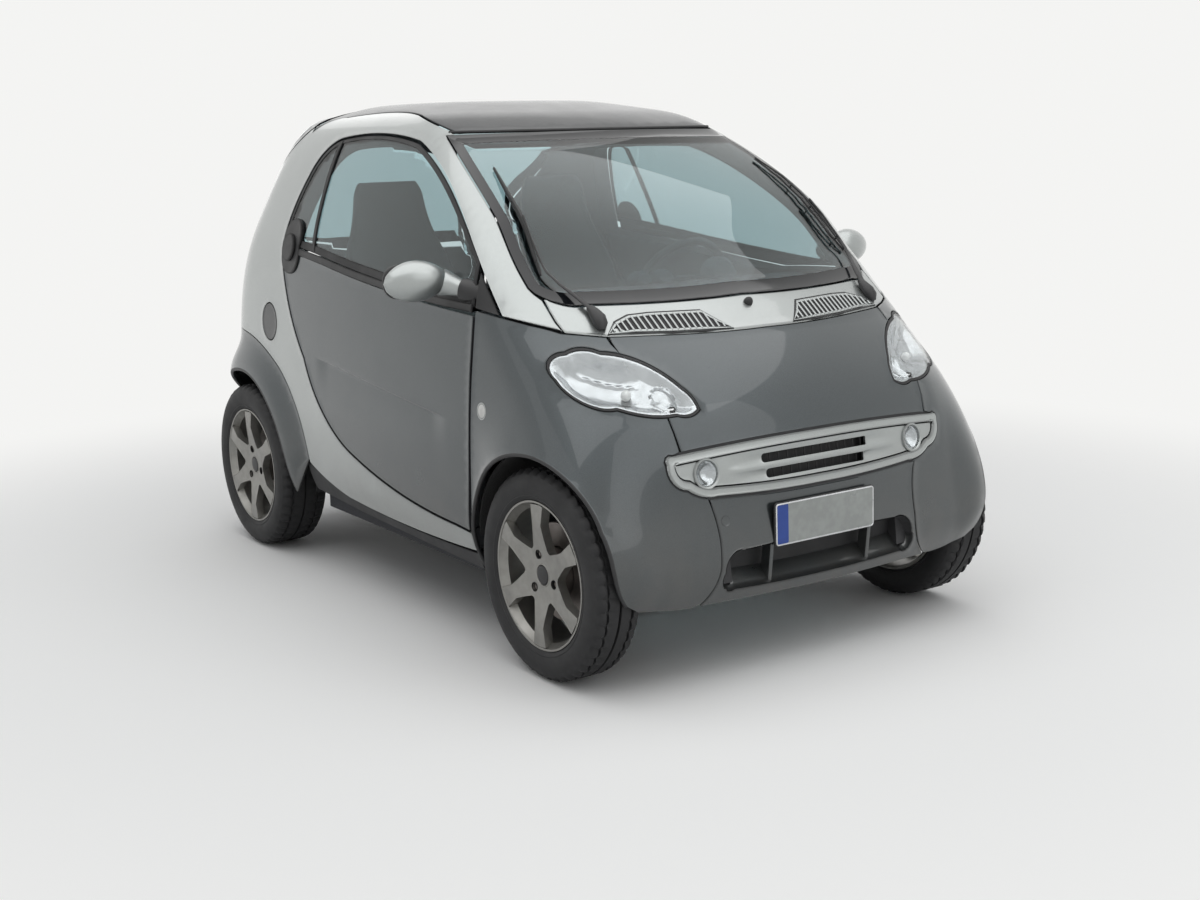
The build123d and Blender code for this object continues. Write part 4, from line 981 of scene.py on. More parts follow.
def roof_surface(x, y):
    """Points and normals of the roof over a plan."""
    z = roof_height(x, y)
    dx = (roof_height(x + 9, y) - roof_height(x - 9, y)) / 18
    dy = (roof_height(x, y + 9) - roof_height(x, y - 9)) / 18
    return np.stack([x, y, z], -1), unit(np.stack([-dx, -dy, np.ones_like(dx)], -1))


rail, _ = body_point(*settle(np.array(run((-714, 1446), [(None, (-700, 1437)), ((-640, 1464), (-560, 1476)),
                                                        ((-300, 1486), (-80, 1473)), ((60, 1448), (178, 1417))])),
                             "side", "side").T, "side", raised=False)
front_edge, _ = body_point(*settle(np.array(run((-440, 1419), [(None, (0, 1422))])), "front", "nose").T, "nose",
                           raised=False)
half = [(x, y) for x, y, _ in rail] + [(x, y) for x, y, _ in front_edge[1:]]
ROOF = facing_in(np.array(half + [(x, -y) for x, y in half[-2::-1]]))
ride(panel("roof_skin", ROOF, ROOF_BLACK, surface=roof_surface, thick=6, step=30, gap=2), "chassis",
     ["roof_panel"])
front_seal, front_way = body_point(*on_nose([(y, 1419.5) for y in np.linspace(-486, 486, 60)]).T, "nose",
                                   raised=False)
ride(joined("roof_front_seal", [(*tube(front_seal - front_way * 1.5, 5.0, 10), 0)], [SEAL], sharp=70), "chassis")
arch_lip("front_arch_lip_right", settle_raised(ARCH_FRONT, "side"), 6.5)

# ---------------- rear end, sills, fuel flap
REAR_FENDER = loop("side",
                   ("side", run((-458, 378), [(None, (-460, 388)), ((-528, 555), (-651, 667)),
                                              ((-850, 742), (-1110, 758)), ((-1150, 745), (-1160, 690)),
                                              (None, (-1168, 602))])),
                   ("rear", run((-560, 602), [(None, (-436, 602)), (None, (-436, 240))])),
                   ("side", run((-1170, 236), [(None, (-1150, 236))])),
                   ("side", arc_points((REAR_AXLE_X - 340, 240), (REAR_AXLE_X - 10, REAR_WHEEL_Z + 345),
                                       (REAR_AXLE_X + 342, 262), 12)))
both(panel("rear_fender_skin_right", REAR_FENDER, GREY, thick=7, step=20, roll=3), "chassis",
     ["rear_fender"])

REAR_LIP = arc_points((REAR_AXLE_X - 338, 250), (REAR_AXLE_X - 10, REAR_WHEEL_Z + 343), (REAR_AXLE_X + 340, 268), 12)
arch_lip("rear_arch_lip_right", settle(REAR_LIP, "side", "side"), 6.0)


def rear_panel(name, runs, material, body, slot, replaced, **facts):
    """A panel that crosses the centre line of the tail."""
    return ride(panel(name, half_loop("tail", *runs), material, "tail", **facts), body, replaced)


rear_panel("rear_panel_skin", [("rear", run((0, 787), [(None, (-432, 787)), (None, (-432, 606)), (None, (0, 606))]))],
           GREY, "chassis", "grey_paint", ["rear_panel"], thick=8)
rear_panel("rear_bumper_skin", [("rear", run((0, 598), [(None, (-432, 598)), (None, (-432, 240)), (None, (0, 232))]))],
           GREY, "chassis", "grey_paint", ["rear_bumper"], thick=10, roll=4)
rear_panel("tailgate_skin", [("rear", run((0, 988), [(None, (-426, 984)), (None, (-428, 800)), (None, (0, 796))]))],
           SILVER, "tailgate", "silver_paint", ["tailgate_flap"], thick=10)
HATCH_RUNS = [("side", run((-727, 1512), [(None, (-727, 1448)), ((-884, 1322), (-1024, 1213)),
                                          ((-1096, 1127), (-1154, 1006))])),
              ("rear", run((-500, 1003), [(None, (0, 1003))]))]
hatch_outline = half_loop("tail", *HATCH_RUNS)
ride(panel("hatch_border", hatch_outline, FRIT, "tail", holes=[inset(hatch_outline, 46)], gap=1, roll=1.5, thick=6),
     "hatch")
ride(panel("hatch_pane", inset(hatch_outline, 42), GLASS, "tail", gap=0, roll=0.6, thick=5, sink=0.8, step=34), "hatch",
     ["hatch_glass"])

SILL = side_loop(run((560, 262), [((130, 262), (-200, 282)), ((-330, 313), (-456, 358)),
                                 (None, (-500, 358)), (None, (-490, 262)), (None, (-200, 242)),
                                 (None, (540, 206))]))
both(panel("sill_skin_right", SILL, DARK_MOULDING_AND_SHADE, thick=30, step=26, sink=8, raised=False), "chassis")
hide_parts("side_sills")


def housing_walls_and_jamb_shade():
    """Lower walls of the wheel housings, and the jamb behind the door's front seam, whose dark is painted shade that
    keeps the seam dark.
    """
    plates = [([(586, 205), (1185, 226), (1185, 336), (586, 336)], -401, -398, "xz"),
              ([(-398, 228), (-628, 232), (-628, 336), (-398, 336)], 579, 582, "yz"),
              # jamb behind the door's front seam: its dark moulding is painted shade seen through the seam
              ([(548, 300), (606, 330), (606, 640), (560, 640)], -548, -544, "xz"),
              ([(-1205, 250), (-576, 232), (-576, 336), (-1205, 336)], -548, -545, "xz"),
              ([(-545, 232), (-640, 236), (-640, 336), (-545, 336)], -576, -573, "yz")]
    return joined("housing_walls_right", [(*slab(*plate), 0) for plate in plates], [DARK_MOULDING_AND_SHADE])


both(housing_walls_and_jamb_shade(), "chassis")

ride(panel("fuel_flap_skin", side_loop(circle(FUEL_SPOT, 61, 48)), ROOF_BLACK, gap=0, roll=2.5,
           thick=5, step=14), "fuel_lid", ["fuel_flap"])
corner_trim = side_loop(run((612, 960), [(None, (706, 946)), (None, (604, 1052)), ((609, 1010), (612, 960))]))
both(panel("window_corner_right", corner_trim, BLACK_TRIM, gap=0.5, thick=6, step=16), "chassis")
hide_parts("pillar_corners")


# ---------------- door fittings
both(panel("division_bar_right", side_loop(run((-366, 1060), [
    ((-392, 1230), (-409, 1402)), (None, (-429, 1400)), ((-412, 1230), (-386, 1062))])), SEAL, gap=0, roll=3,
    thick=7, sink=-1.5), DOORS)
HANDLE = side_loop(run((-482, 1070), [((-490, 1135), (-540, 1158)), ((-598, 1130), (-604, 1070)),
                                      ((-598, 1004), (-545, 982)), ((-492, 1004), (-482, 1070))]))
both(panel("handle_cup_right", HANDLE, BLACK_TRIM, gap=0, roll=6, thick=10, sink=-7, step=10), DOORS,
     ["door_trim"])
GRIP = side_loop(run((-500, 1064), [((-520, 1100), (-590, 1082)), (None, (-590, 1048)),
                                    ((-520, 1030), (-500, 1064))]))
both(panel("handle_grip_right", GRIP, BLACK_TRIM, gap=0, roll=7, thick=9, sink=-17, step=8), DOORS)


def mirror_shell():
    """Door mirror housing: a rounded oval pod with its neck reaching toward the door."""
    points, rows, around = [], 22, 32
    centre, half_y, half_z = np.array([478.0, -790.0, 1030.0]), 97, 60
    for r in range(rows + 1):
        t = r / rows
        lean = math.sin(math.pi * min(1, t * 1.02)) ** 0.55 if 0 < t < 1 else 0.0
        y = centre[1] - half_y + 2 * half_y * t
        depth = 52 * lean * (0.82 + 0.18 * t)
        high = half_z * lean * (1.0 - 0.14 * t)
        for k in range(around):
            a = 2 * math.pi * k / around
            c, s = math.cos(a), math.sin(a)
            px = centre[0] + (depth * 1.15 * c if c > 0 else depth * 0.55 * c) + 14 * (t - 0.5)
            pz = centre[2] + high * math.copysign(abs(s) ** 0.9, s) + 6 * (t - 0.5)
            points.append((px, y, pz))
    neck = tube([(486, -716, 1022), (500, -700, 1016), (524, -684, 1008), (548, -668, 1000)],
                np.array([44, 37, 29, 24]), 24, flat=0.86)
    return joined("mirror_shell_right", [(points, band(rows + 1, around), 0), (*neck, 0)], [SILVER], sharp=60)


both(mirror_shell(), DOORS, ["mirror"])


def mirror_root():
    """Black foot that carries the mirror from the window corner, and the glass rim."""
    path = [(610, -650, 990), (580, -662, 996), (552, -676, 1002), (540, -684, 1005)]
    foot = tube(path, np.array([22, 32, 33, 30]), 20)
    rim = slab(rounded(158, 92, 44, (-797, 1028)), 440, 452, "yz", 3)
    return joined("mirror_root_right", [(*foot, 0), (*rim, 0)], [BLACK_TRIM], sharp=50)


both(mirror_root(), DOORS)


# ---------------- wheels
ALLOY = moulded("wheel_alloy", (0.27, 0.265, 0.25, 1), roughness=0.40, metallic=0.80, scale=900.0, strength=0.06)
STEEL = moulded("brake_steel", (0.22, 0.20, 0.19, 1), roughness=0.45, metallic=0.9, scale=400.0, strength=0.2)
TYRE = moulded("tyre_rubber", (0.011, 0.011, 0.012, 1), roughness=0.66, scale=260.0, strength=0.25)

BOLT_CIRCLE, TREAD_PARTS = 56, 144


def wheel(name, body, hub, tyre_radius, width, rim_radius):
    """Tyre with tread grooves and blocks, and a six-spoke alloy rim with its bolts and cap."""
    side = -1 if hub[1] < 0 else 1
    half = width / 2
    bead = rim_radius - 4
    wall = [(bead, half - 14), (bead + 6, half - 7), (bead + 14, half - 3), (bead + 17, half - 4),
            (bead + 30, half + 0.5), (tyre_radius - 32, half), (tyre_radius - 26, half - 2.5),
            (tyre_radius - 16, half - 6), (tyre_radius - 7, half - 13), (tyre_radius - 3, half - 20)]
    tread = []
    for groove in (0.24, -0.02, -0.28):
        tread += [(tyre_radius - depth, groove * width + across)
                  for depth, across in ((0.4, 8), (0.4, 4), (8, 3), (8, -3), (0.4, -4), (0.4, -8))]
    profile = wall + tread + [(r, -y) for r, y in wall[::-1]]
    points, faces = lathe([(r, -side * y) for r, y in profile], TREAD_PARTS)
    points = points.reshape(len(profile), TREAD_PARTS, 3)
    for row, (r, y) in enumerate(profile):
        if r > tyre_radius - 8 and abs(abs(y) - half * 0.72) < half * 0.35:
            notch = np.where(np.arange(TREAD_PARTS) % 3 == 0, 1 - 7.0 / tyre_radius, 1.0)
            points[row, :, ::2] *= notch[:, None]
    tyre = joined(f"{name}_tyre", [(points.reshape(-1, 3) + hub, faces, 0)], [TYRE], sharp=28)
    ride(tyre, body, [name.replace("wheel", "tyre")])

    face = half - 6
    barrel = [(1, half - 10), (2.5, half - 7.5), (1, half - 4), (-3, half - 3), (-9, half - 6), (-12, half - 14),
              (-15, half - 30), (-22, half - 60), (-22, -half + 30), (-10, -half + 14), (-8, -half + 8),
              (-2, -half + 8), (-5, -half + 14), (-16, -half + 34), (-16, half - 60), (-6, half - 22),
              (-4, half - 10), (1, half - 10)]
    parts = []

    def turned(profile, count, mark, spot=(0, 0), way=side):
        points, faces = lathe([(r, way * y) for r, y in profile], count)
        parts.append((points + [spot[0], 0, spot[1]] + hub, faces, mark))

    turned([(rim_radius + r, y) for r, y in barrel], 96, 0, way=-side)
    outline, reach, spread, waist, waist_r = [], rim_radius - 11, 0.135, 0.27, 84
    for k in range(6):
        a = math.pi / 3 * k + math.pi / 2
        outline += [(reach, a - spread - 0.012), (reach, a - spread * 0.5), (reach, a), (reach, a + spread * 0.5),
                    (reach, a + spread + 0.012), (140, a + spread * 1.05), (112, a + waist * 0.82),
                    (waist_r - 4, a + math.pi / 6 - 0.10), (waist_r - 7, a + math.pi / 6),
                    (waist_r - 4, a + math.pi / 6 + 0.10), (112, a + math.pi / 3 - waist * 0.82),
                    (140, a + math.pi / 3 - spread * 1.05)]
    ring = np.array([(r * math.cos(t), r * math.sin(t)) for r, t in outline])

    def crown(distance):
        return face - 17 * smooth(165, 30, distance) - 3 * smooth(150, 195, distance)

    bolts = circle((0, 0), BOLT_CIRCLE, 3, math.pi / 2 + 0.28)
    holes = [np.array(circle(spot, 12.5, 20)) for spot in bolts] + [np.array(circle((0, 0), 31, 36))]
    edges = closed_edges([ring, *holes])
    grid = tessellate([ring, *holes], 13, 0.5)
    plan, triangles, _, back = triangulated(np.concatenate([ring, *holes, grid]).tolist(), edges)
    middle = plan[triangles].mean(1)
    keep = inside(middle, ring)
    for hole in holes:
        keep &= ~inside(middle, hole)
    triangles = triangles[keep]
    high = crown(np.hypot(plan[:, 0], plan[:, 1]))
    top = np.stack([plan[:, 0], side * high, plan[:, 1]], -1)
    low = np.stack([plan[:, 0] * 0.985, side * (high - 24), plan[:, 1] * 0.985], -1)
    total = len(top)
    turn = np.cross(top[triangles[:, 1]] - top[triangles[:, 0]], top[triangles[:, 2]] - top[triangles[:, 0]])
    triangles = np.where((turn[:, 1] * side > 0)[:, None], triangles, triangles[:, ::-1])
    body_faces = triangles.tolist() + (triangles[:, ::-1] + total).tolist()
    for a, b in edges:
        a, b = back[a], back[b]
        body_faces.append([a, b, b + total, a + total] if side < 0 else [b, a, a + total, b + total])
    parts.append((np.concatenate([top, low]) + hub, body_faces, 0))
    cap = [(0.01, face - 14), (18, face - 14), (24, face - 15), (25.5, face - 17), (26, face - 24), (30, face - 24),
           (31.5, face - 30)]
    turned(cap, 40, 1)
    turned([(26, face - 20), (28.5, face - 15.5), (31.5, face - 16), (32, face - 26)], 40, 0)
    for spot in bolts:
        turned([(0.01, face - 24), (5, face - 24), (5.5, face - 22), (8.5, face - 22), (9.5, face - 24),
                (9.5, face - 36)], 12, 2, spot)
        turned([(12.4, face - 14), (12.4, face - 36), (0.01, face - 36)], 20, 1, spot)
    turned([(70, -2), (132, -2), (134, -6), (134, -18), (132, -22), (70, -22)], 64, 2)
    turned([(0.01, face - 30), (62, face - 32), (66, face - 38), (66, -22)], 40, 2)
    rim = joined(f"{name}_rim", parts, [ALLOY, BLACK_TRIM, STEEL], sharp=32)
    ride(bevelled(rim, 1.2, 2, 40), body, [name.replace("wheel", "rim")])


for where, x, hub_y, radius, width, z in (("front", FRONT_AXLE_X, 637, 284.0, 145, FRONT_WHEEL_Z),
                                          ("rear", REAR_AXLE_X, 654, 286.0, 175, REAR_WHEEL_Z)):
    for side, sign in (("right", -1), ("left", 1)):
        wheel(f"wheel_{where}_{side}", f"wheel_{where}_{side}", np.array([x, sign * hub_y, z]), radius, width, 203)

# ---------------- nose fittings
CHROME = moulded("reflector", (0.47, 0.48, 0.485, 1), roughness=0.22, metallic=1.0, scale=160.0, strength=0.12)
BULB = moulded("lamp_bulb", (0.86, 0.86, 0.84, 1), roughness=0.25, scale=500.0, strength=0.05)
NET = moulded("intake_net", (0.010, 0.010, 0.011, 1), roughness=0.6, scale=220.0, strength=0.6)


def nose_pair(name, outline, material, slot, **facts):
    """A right-hand panel on the nose and its mirror image."""
    both(panel(f"{name}_right", facing_in(np.asarray(outline)), material, "nose", **facts), "chassis")


def bump(value, reach):
    """A smooth bump of height 1 and half width reach."""
    return np.exp(-(value / reach * 1.4) ** 2)


GRILLE = across_nose(GRILLE_VIEW)
LAMP_SPOT = (-368, 560)
UPPER_SLOT, LOWER_SLOT = 577, 536     # heights of the slots across the grille
SLOTS = [facing_in(on_nose(rounded(2 * half, 21, 6, (0, z), 3))) for half, z in ((186, UPPER_SLOT), (174, LOWER_SLOT))]
LAMP_HOLES = [facing_in(on_nose(circle((side * LAMP_SPOT[0], LAMP_SPOT[1]), 34, 30))) for side in (1, -1)]


def disc_rise(point, centre, radius):
    """1 at a centre of the front or rear view, falling to 0 at a radius from it."""
    return 1 - np.clip(np.hypot(np.abs(point[..., 1]) + centre[0], point[..., 2] - centre[1]) / radius, 0, 1) ** 2


def grille_dish(point, *_):
    """Height of the grille's moulding: ridges between the slots that die out at the lamps."""
    y, z = np.abs(point[..., 1]), point[..., 2]
    reach = 1 - smooth(175, 320, y)
    valley = bump(z - UPPER_SLOT, 22) + bump(z - LOWER_SLOT, 21)
    lamp = bump(np.hypot(y + LAMP_SPOT[0], z - LAMP_SPOT[1]), 62)
    bar = bump(z - 556, 11) * (1 - smooth(250, 322, y))
    return -2.0 - 9.0 * reach * valley + 3.5 * bar - 2.5 * lamp * smooth(300, 330, y)


nose_piece("grille_shadow", inset(GRILLE, -5), DARK_MOULDING_AND_SHADE, "black_plastic", gap=0, roll=0.5, thick=5, sink=4, step=40,
           holes=[inset(GRILLE, 24)])
nose_piece("grille_frame", GRILLE, SILVER, "silver_paint", ["front_grille"], holes=[inset(GRILLE, 27)], gap=2.5,
           roll=6, thick=14, sink=-5, step=9)
nose_piece("grille_dish", inset(GRILLE, 27), SILVER, "silver_paint", holes=SLOTS + LAMP_HOLES, gap=1.0, roll=1.2,
           thick=8, step=9, surface=moulded_on("nose", grille_dish))
nose_piece("grille_back", inset(GRILLE, 20), NET, "black_plastic", gap=0, roll=0.6, thick=4, sink=34, step=40)
for number, (half, middle) in enumerate(((182, UPPER_SLOT), (172, LOWER_SLOT)), 1):
    bars = []
    for y in np.arange(30 - half, half, 30):
        foot, head = (body_point(*on_nose([(y, middle + rise)]).T, "nose") for rise in (-14, 14))
        bars.append((*tube([foot[0][0] - foot[1][0] * 22, head[0][0] - head[1][0] * 22], 2.2, 6), 0))
    ride(joined(f"grille_bars_{number}", bars, [NET]), "chassis")


def lamp_bowl(point, *_):
    """Depth of the round lamp's reflector."""
    return -9 - 20 * disc_rise(point, LAMP_SPOT, 32)


nose_pair("round_lamp_ring", on_nose(circle(LAMP_SPOT, 39.5, 44)), SILVER, "silver_paint", gap=0, roll=3, thick=10,
          sink=-2.5, step=8, holes=[on_nose(circle(LAMP_SPOT, 32, 40))])
nose_pair("round_lamp_lens", on_nose(circle(LAMP_SPOT, 33, 40)), LENS, "lamp_glass", gap=0, roll=1.5, thick=3, sink=1.5,
          step=10)
nose_pair("round_lamp_bowl", on_nose(circle(LAMP_SPOT, 32.5, 40)), CHROME, "lamp_glass", gap=0, roll=0.4, thick=1.5,
          step=5, surface=moulded_on("nose", lamp_bowl))
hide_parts("front_lamps")

LENS_EDGE = inset(HEADLAMP, 7)
BULB_SPOT, DOME_SPOT = (-512, 778), (-425, 752)


def bowl_depth(point, distance, level):
    """Depth of the headlamp's reflector: a step across it and a round side lamp."""
    y, z = point[..., 1], point[..., 2]
    edge = distance_to(np.stack([np.ravel(distance), np.ravel(level)], -1), LENS_EDGE).reshape(np.shape(y))
    dish = 1 - np.clip(np.hypot((y + 545) / 88, (z - 795) / 52), 0, 1) ** 2
    dome = np.clip(1 - (np.hypot(y - DOME_SPOT[0], z - DOME_SPOT[1]) / 34) ** 2, 0, 1)
    shelf = 5 * bump(z - (812 - 0.22 * (y + 545)), 5) * smooth(0.1, 0.5, dish)
    return -5 - 26 * smooth(0, 30, edge) - 24 * dish + shelf + 20 * np.sqrt(dome)


nose_pair("headlamp_seal", HEADLAMP, SEAL, "black_plastic", holes=[LENS_EDGE], gap=0.2, roll=1.6, thick=12, sink=1.2,
          step=8)
nose_pair("headlamp_lens", inset(HEADLAMP, 6), LENS, "lamp_glass", gap=0, roll=1.2, thick=3, sink=1.6, step=20)
nose_pair("headlamp_bowl", inset(HEADLAMP, 6.5), CHROME, "lamp_glass", gap=0, roll=0.4, thick=1.5, step=6,
          surface=moulded_on("nose", bowl_depth))


def bulb():
    """Bulb with its shield in the middle of the headlamp's bowl."""
    point, normal = body_point(*on_nose([BULB_SPOT]).T, "nose")
    foot = point[0] - normal[0] * 52
    path = [foot + normal[0] * reach for reach in (0, 6, 10, 22, 28, 31)]
    return joined("headlamp_bulb_right", [(*tube(path, np.array([9, 9, 13, 13, 9, 3]), 20), 0)], [BULB])


both(bulb(), "chassis")

# air intake: a liner that turns inward, a painted lower lip, a net and two fins
ring_places = []
for amount, deep, lift in ((0.5, 3, 0), (0.5, 9, 0), (3, 22, 4), (8, 40, 12), (13, 56, 18)):
    ring = inset(INTAKE, amount)
    point, normal = body_point(ring[:, 0], ring[:, 1], "nose")
    low = smooth(305, 262, point[:, 2])
    point = point - normal * deep
    point[:, 2] += lift * low
    ring_places.append(point)
count = len(INTAKE)
liner = np.concatenate(ring_places)
liner_faces = band(len(ring_places), count, turned=True)
lower = [0 if liner[list(face), 2].mean() < 296 else 1 for face in liner_faces]
liner_parts = [(liner, [face for face, part in zip(liner_faces, lower) if part == which], which) for which in (0, 1)]
liner_parts.append((liner, [ends(len(ring_places), count)[1]], 2))
ride(joined("intake_liner", liner_parts, [GREY, DARK_MOULDING_AND_SHADE, NET], sharp=50), "chassis")


def fin():
    """One upright fin in the intake."""
    foot, head = (body_point(*on_nose([(-176, z)]).T, "nose") for z in (250, 352))
    shape = [point[0] - [deep, 0, 0] for (point, _), deep in ((foot, 12), (head, 8), (head, 44), (foot, 50))]
    outline = [(point[0], point[2]) for point in shape]
    return joined("intake_fin_right", [(*slab(outline, shape[0][1] - 6, shape[0][1] + 6, "xz", 2.5), 0)], [GREY])


both(fin(), "chassis")
TOW_SPOT = (-326, 434)
nose_piece("towing_eye_cover", on_nose(circle(TOW_SPOT, 14, 30)), GREY, "grey_paint", gap=0, roll=2.5, thick=5,
           sink=-1.6, step=8)

# number plates: blank, with a raised rim and a blue band at one end
PLATE_FACE = moulded("plate_sheet", (0.30, 0.315, 0.305, 1), roughness=0.34, scale=1500.0, strength=0.05)
PLATE_BLUE = moulded("plate_blue", (0.012, 0.05, 0.27, 1), roughness=0.34, scale=1500.0, strength=0.05)
PLATE_RIM = moulded("plate_rim", (0.62, 0.63, 0.64, 1), roughness=0.3, metallic=0.8, scale=900.0, strength=0.05)


def number_plate(name, x, z, way, tilt):
    """A plate that faces along way (1 forward, -1 backward)."""
    def placed(points, faces, mark):
        leaned = points * [way, 1, 1]
        leaned[:, 0] += x - math.tan(math.radians(tilt)) * points[:, 2] * way
        leaned[:, 2] += z
        return leaned, [face[::-1] for face in faces] if way < 0 else faces, mark

    outer = np.array(rounded(352, 112, 9))
    facing = facing_in(outer)
    rim = [(high, a, b) for outline, high in ((outer, 1.0), (outer, 3.6), (inset(facing, 1.2), 4.4),
                                              (inset(facing, 3.4), 4.4), (inset(facing, 4.4), 2.0))
           for a, b in outline]
    strip = rounded(40, 105, 5, (-way * (172.5 - 20), 0))
    return joined(name, [
        placed(*slab(rounded(358, 117, 10), -3.5, 1.0, "yz", 1.0), 3),
        placed(*slab(rounded(345, 105, 6), 0.5, 3.0, "yz", 0.4), 0), placed(*slab(strip, 0.5, 3.3, "yz", 0.4), 1),
        placed(np.array(rim, float), band(5, len(outer)), 2)], [PLATE_FACE, PLATE_BLUE, PLATE_RIM, BLACK_TRIM])


ride(number_plate("plate_front", 1236, 402, 1, 2), "chassis", ["number_plates"])
ride(number_plate("plate_rear", -1247, 520, -1, -2), "chassis")

# ---------------- cowl fittings
COWL_GRILLE = np.array([(-480, 899), (-440, 925), (-392, 938), (-330, 940), (-240, 938), (-172, 936), (-142, 912),
                        (-108, 889), (-200, 891), (-300, 894), (-400, 899)], float)
cowl_flat = facing_in(on_nose(COWL_GRILLE))
nose_pair("cowl_grille_rim", inset(cowl_flat, -3), SEAL, "black_plastic", holes=[cowl_flat], gap=0, roll=1.2, thick=8,
          sink=-1.0, step=8)
nose_pair("cowl_grille_well", cowl_flat, NET, "black_plastic", gap=0, roll=0.4, thick=3, sink=-0.4, step=30)
nose_pair("cowl_grille_edge", inset(cowl_flat, 1), SILVER, "silver_paint", holes=[inset(cowl_flat, 6)], gap=0, roll=1.2,
          thick=6, sink=-3.0, step=8)


def lifted(view, lift):
    """Places above the nose surface, from front-view points and how high each stands."""
    point, normal = body_point(*on_nose(view).T, "nose")
    return point + normal * np.asarray(lift, float)[:, None]


def slats():
    """Silver slats across a cowl grille."""
    parts = []
    top, foot = COWL_GRILLE[:8], np.concatenate([COWL_GRILLE[:1], COWL_GRILLE[7:][::-1]])
    for y in np.linspace(-458, -132, 19):
        head = np.interp(y, top[:, 0], top[:, 1]) - 3
        base = np.interp(y, foot[:, 0], foot[:, 1]) + 4
        if head - base < 5:
            continue
        line = lifted([(y, z) for z in np.linspace(base, head, 4)], [2.4])
        parts.append((*tube(line, 3.0, 8, flat=0.7), 0))
    return joined("cowl_slats_right", parts, [SILVER])


both(slats(), "chassis")
nozzle = tube([lifted([(0, 944)], [reach])[0] for reach in (-2, 4, 10, 15, 18)], np.array([13, 13, 11, 7, 2]), 20)
ride(joined("washer_nozzle", [(*nozzle, 0)], [BLACK_TRIM], sharp=70), "chassis")


def wiper():
    """Wiper: a moulded cap, a pressed arm that narrows, a bracket and a rubber blade."""
    cap = lifted([(-487, 909), (-485, 918), (-483, 930), (-484, 945), (-487, 955)], (3, 9, 12, 12, 12))
    arm = lifted([(-486, 948), (-502, 978), (-522, 1008), (-537, 1038), (-537, 1066)], (14, 15, 16, 20, 24))
    rod = lifted([(-537, 1060), (-526, 1131), (-516, 1176)], (24, 27, 26))
    blade = [(-548, 1040), (-536, 1090), (-524, 1140), (-515, 1190), (-503, 1250), (-480, 1312)]
    spine, rubber = lifted(blade, (10, 17, 19, 19, 16, 9)), lifted(blade, [5])
    parts = [(*tube(cap, np.array([9, 19, 21, 16, 11]), 20, flat=0.75), 0),
             (*tube(arm, np.array([9, 8, 6.5, 5, 4]), 12, flat=0.5), 0), (*tube(rod, 3.2, 10), 0),
             (*tube(spine, np.array([2.5, 4, 5, 5, 4, 2.5]), 10, flat=0.8), 0),
             (*tube(rubber, 3.6, 8, flat=0.8), 1)]
    for spot in ((-541, 1070), (-519, 1163), (-508, 1225)):
        parts.append((*tube(lifted([spot, spot], (4, 20)), 3.2, 8), 0))
    return joined("wiper_right", parts, [BLACK_TRIM, SEAL], sharp=50)


both(wiper(), "chassis")
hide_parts("wipers")

# side repeaters
REPEATER_SPOT = (674, 692)
REPEATER = circle(REPEATER_SPOT, 19, 30)
both(panel("repeater_ring_right", side_loop(circle(REPEATER_SPOT, 24, 32)), SILVER, gap=0, roll=2, thick=6, sink=-1,
           step=8, holes=[side_loop(REPEATER)]), "chassis")
PALE_LENS = moulded("repeater_lens", (0.62, 0.62, 0.60, 1), roughness=0.14, scale=260.0, strength=0.35)


def dome_height(point, *_):
    """Crown of the side repeater."""
    reach = np.hypot(point[..., 0] - REPEATER_SPOT[0], point[..., 2] - REPEATER_SPOT[1]) / 20
    return 7 * (1 - np.clip(reach, 0, 1) ** 2) - 1


both(panel("repeater_lens_right", side_loop(REPEATER), PALE_LENS, gap=0, roll=0.5, thick=4, step=5,
           surface=moulded_on("side", dome_height)), "chassis")

# tail lamps: three round lamps above each other at each corner
TAIL_LAMP_Y = -560
RED_LENS = clear("red_lens", (0.75, 0.02, 0.02, 1), roughness=0.06)


def round_in_tail(z, radius):
    """A circle of the tail view at the right-hand corner."""
    return settle(circle((TAIL_LAMP_Y, z), radius, 36), "rear", "tail")


for number, (z, material) in enumerate(((672, RED_LENS), (796, LENS), (920, RED_LENS)), 1):
    def crown(point, *_, z=z):
        return -6 + 12 * disc_rise(point, (TAIL_LAMP_Y, z), 46)

    def dish(point, *_, z=z):
        return -10 - 18 * disc_rise(point, (TAIL_LAMP_Y, z), 46)

    for label, radius, look, slot, facts in (
            ("ring", 53, SILVER, "silver_paint", dict(holes=[facing_in(round_in_tail(z, 45))], roll=4, thick=14,
                                                      sink=-6, step=9)),
            ("lens", 45, material, "tail_lamp_red", dict(roll=0.6, thick=3, step=9, surface=moulded_on("tail", crown))),
            ("bowl", 44, CHROME, "tail_lamp_red", dict(roll=0.4, thick=1.5, step=9, surface=moulded_on("tail", dish)))):
        both(panel(f"tail_lamp_{number}_{label}_right", facing_in(round_in_tail(z, radius)), look, "tail", gap=0,
                   **facts), "chassis")
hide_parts("tail_lamps")

# ---------------- running gear and underside
def node_finish(material, *nodes):
    """Give carried-over solids their finish."""
    for node in nodes:
        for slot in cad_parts[node].material_slots:
            slot.material = material


def carpet(name, color):
    """Short looped carpet."""
    material, tree, shader = new_material(name)
    wire(tree, shader, {"Base Color": flecked(tree, color, 420.0, 1.8, 0.9), "Roughness": 0.95,
                        "Normal": effect(tree, "pebble", Scale=520.0, Strength=0.8, Distance=0.001)})
    return material


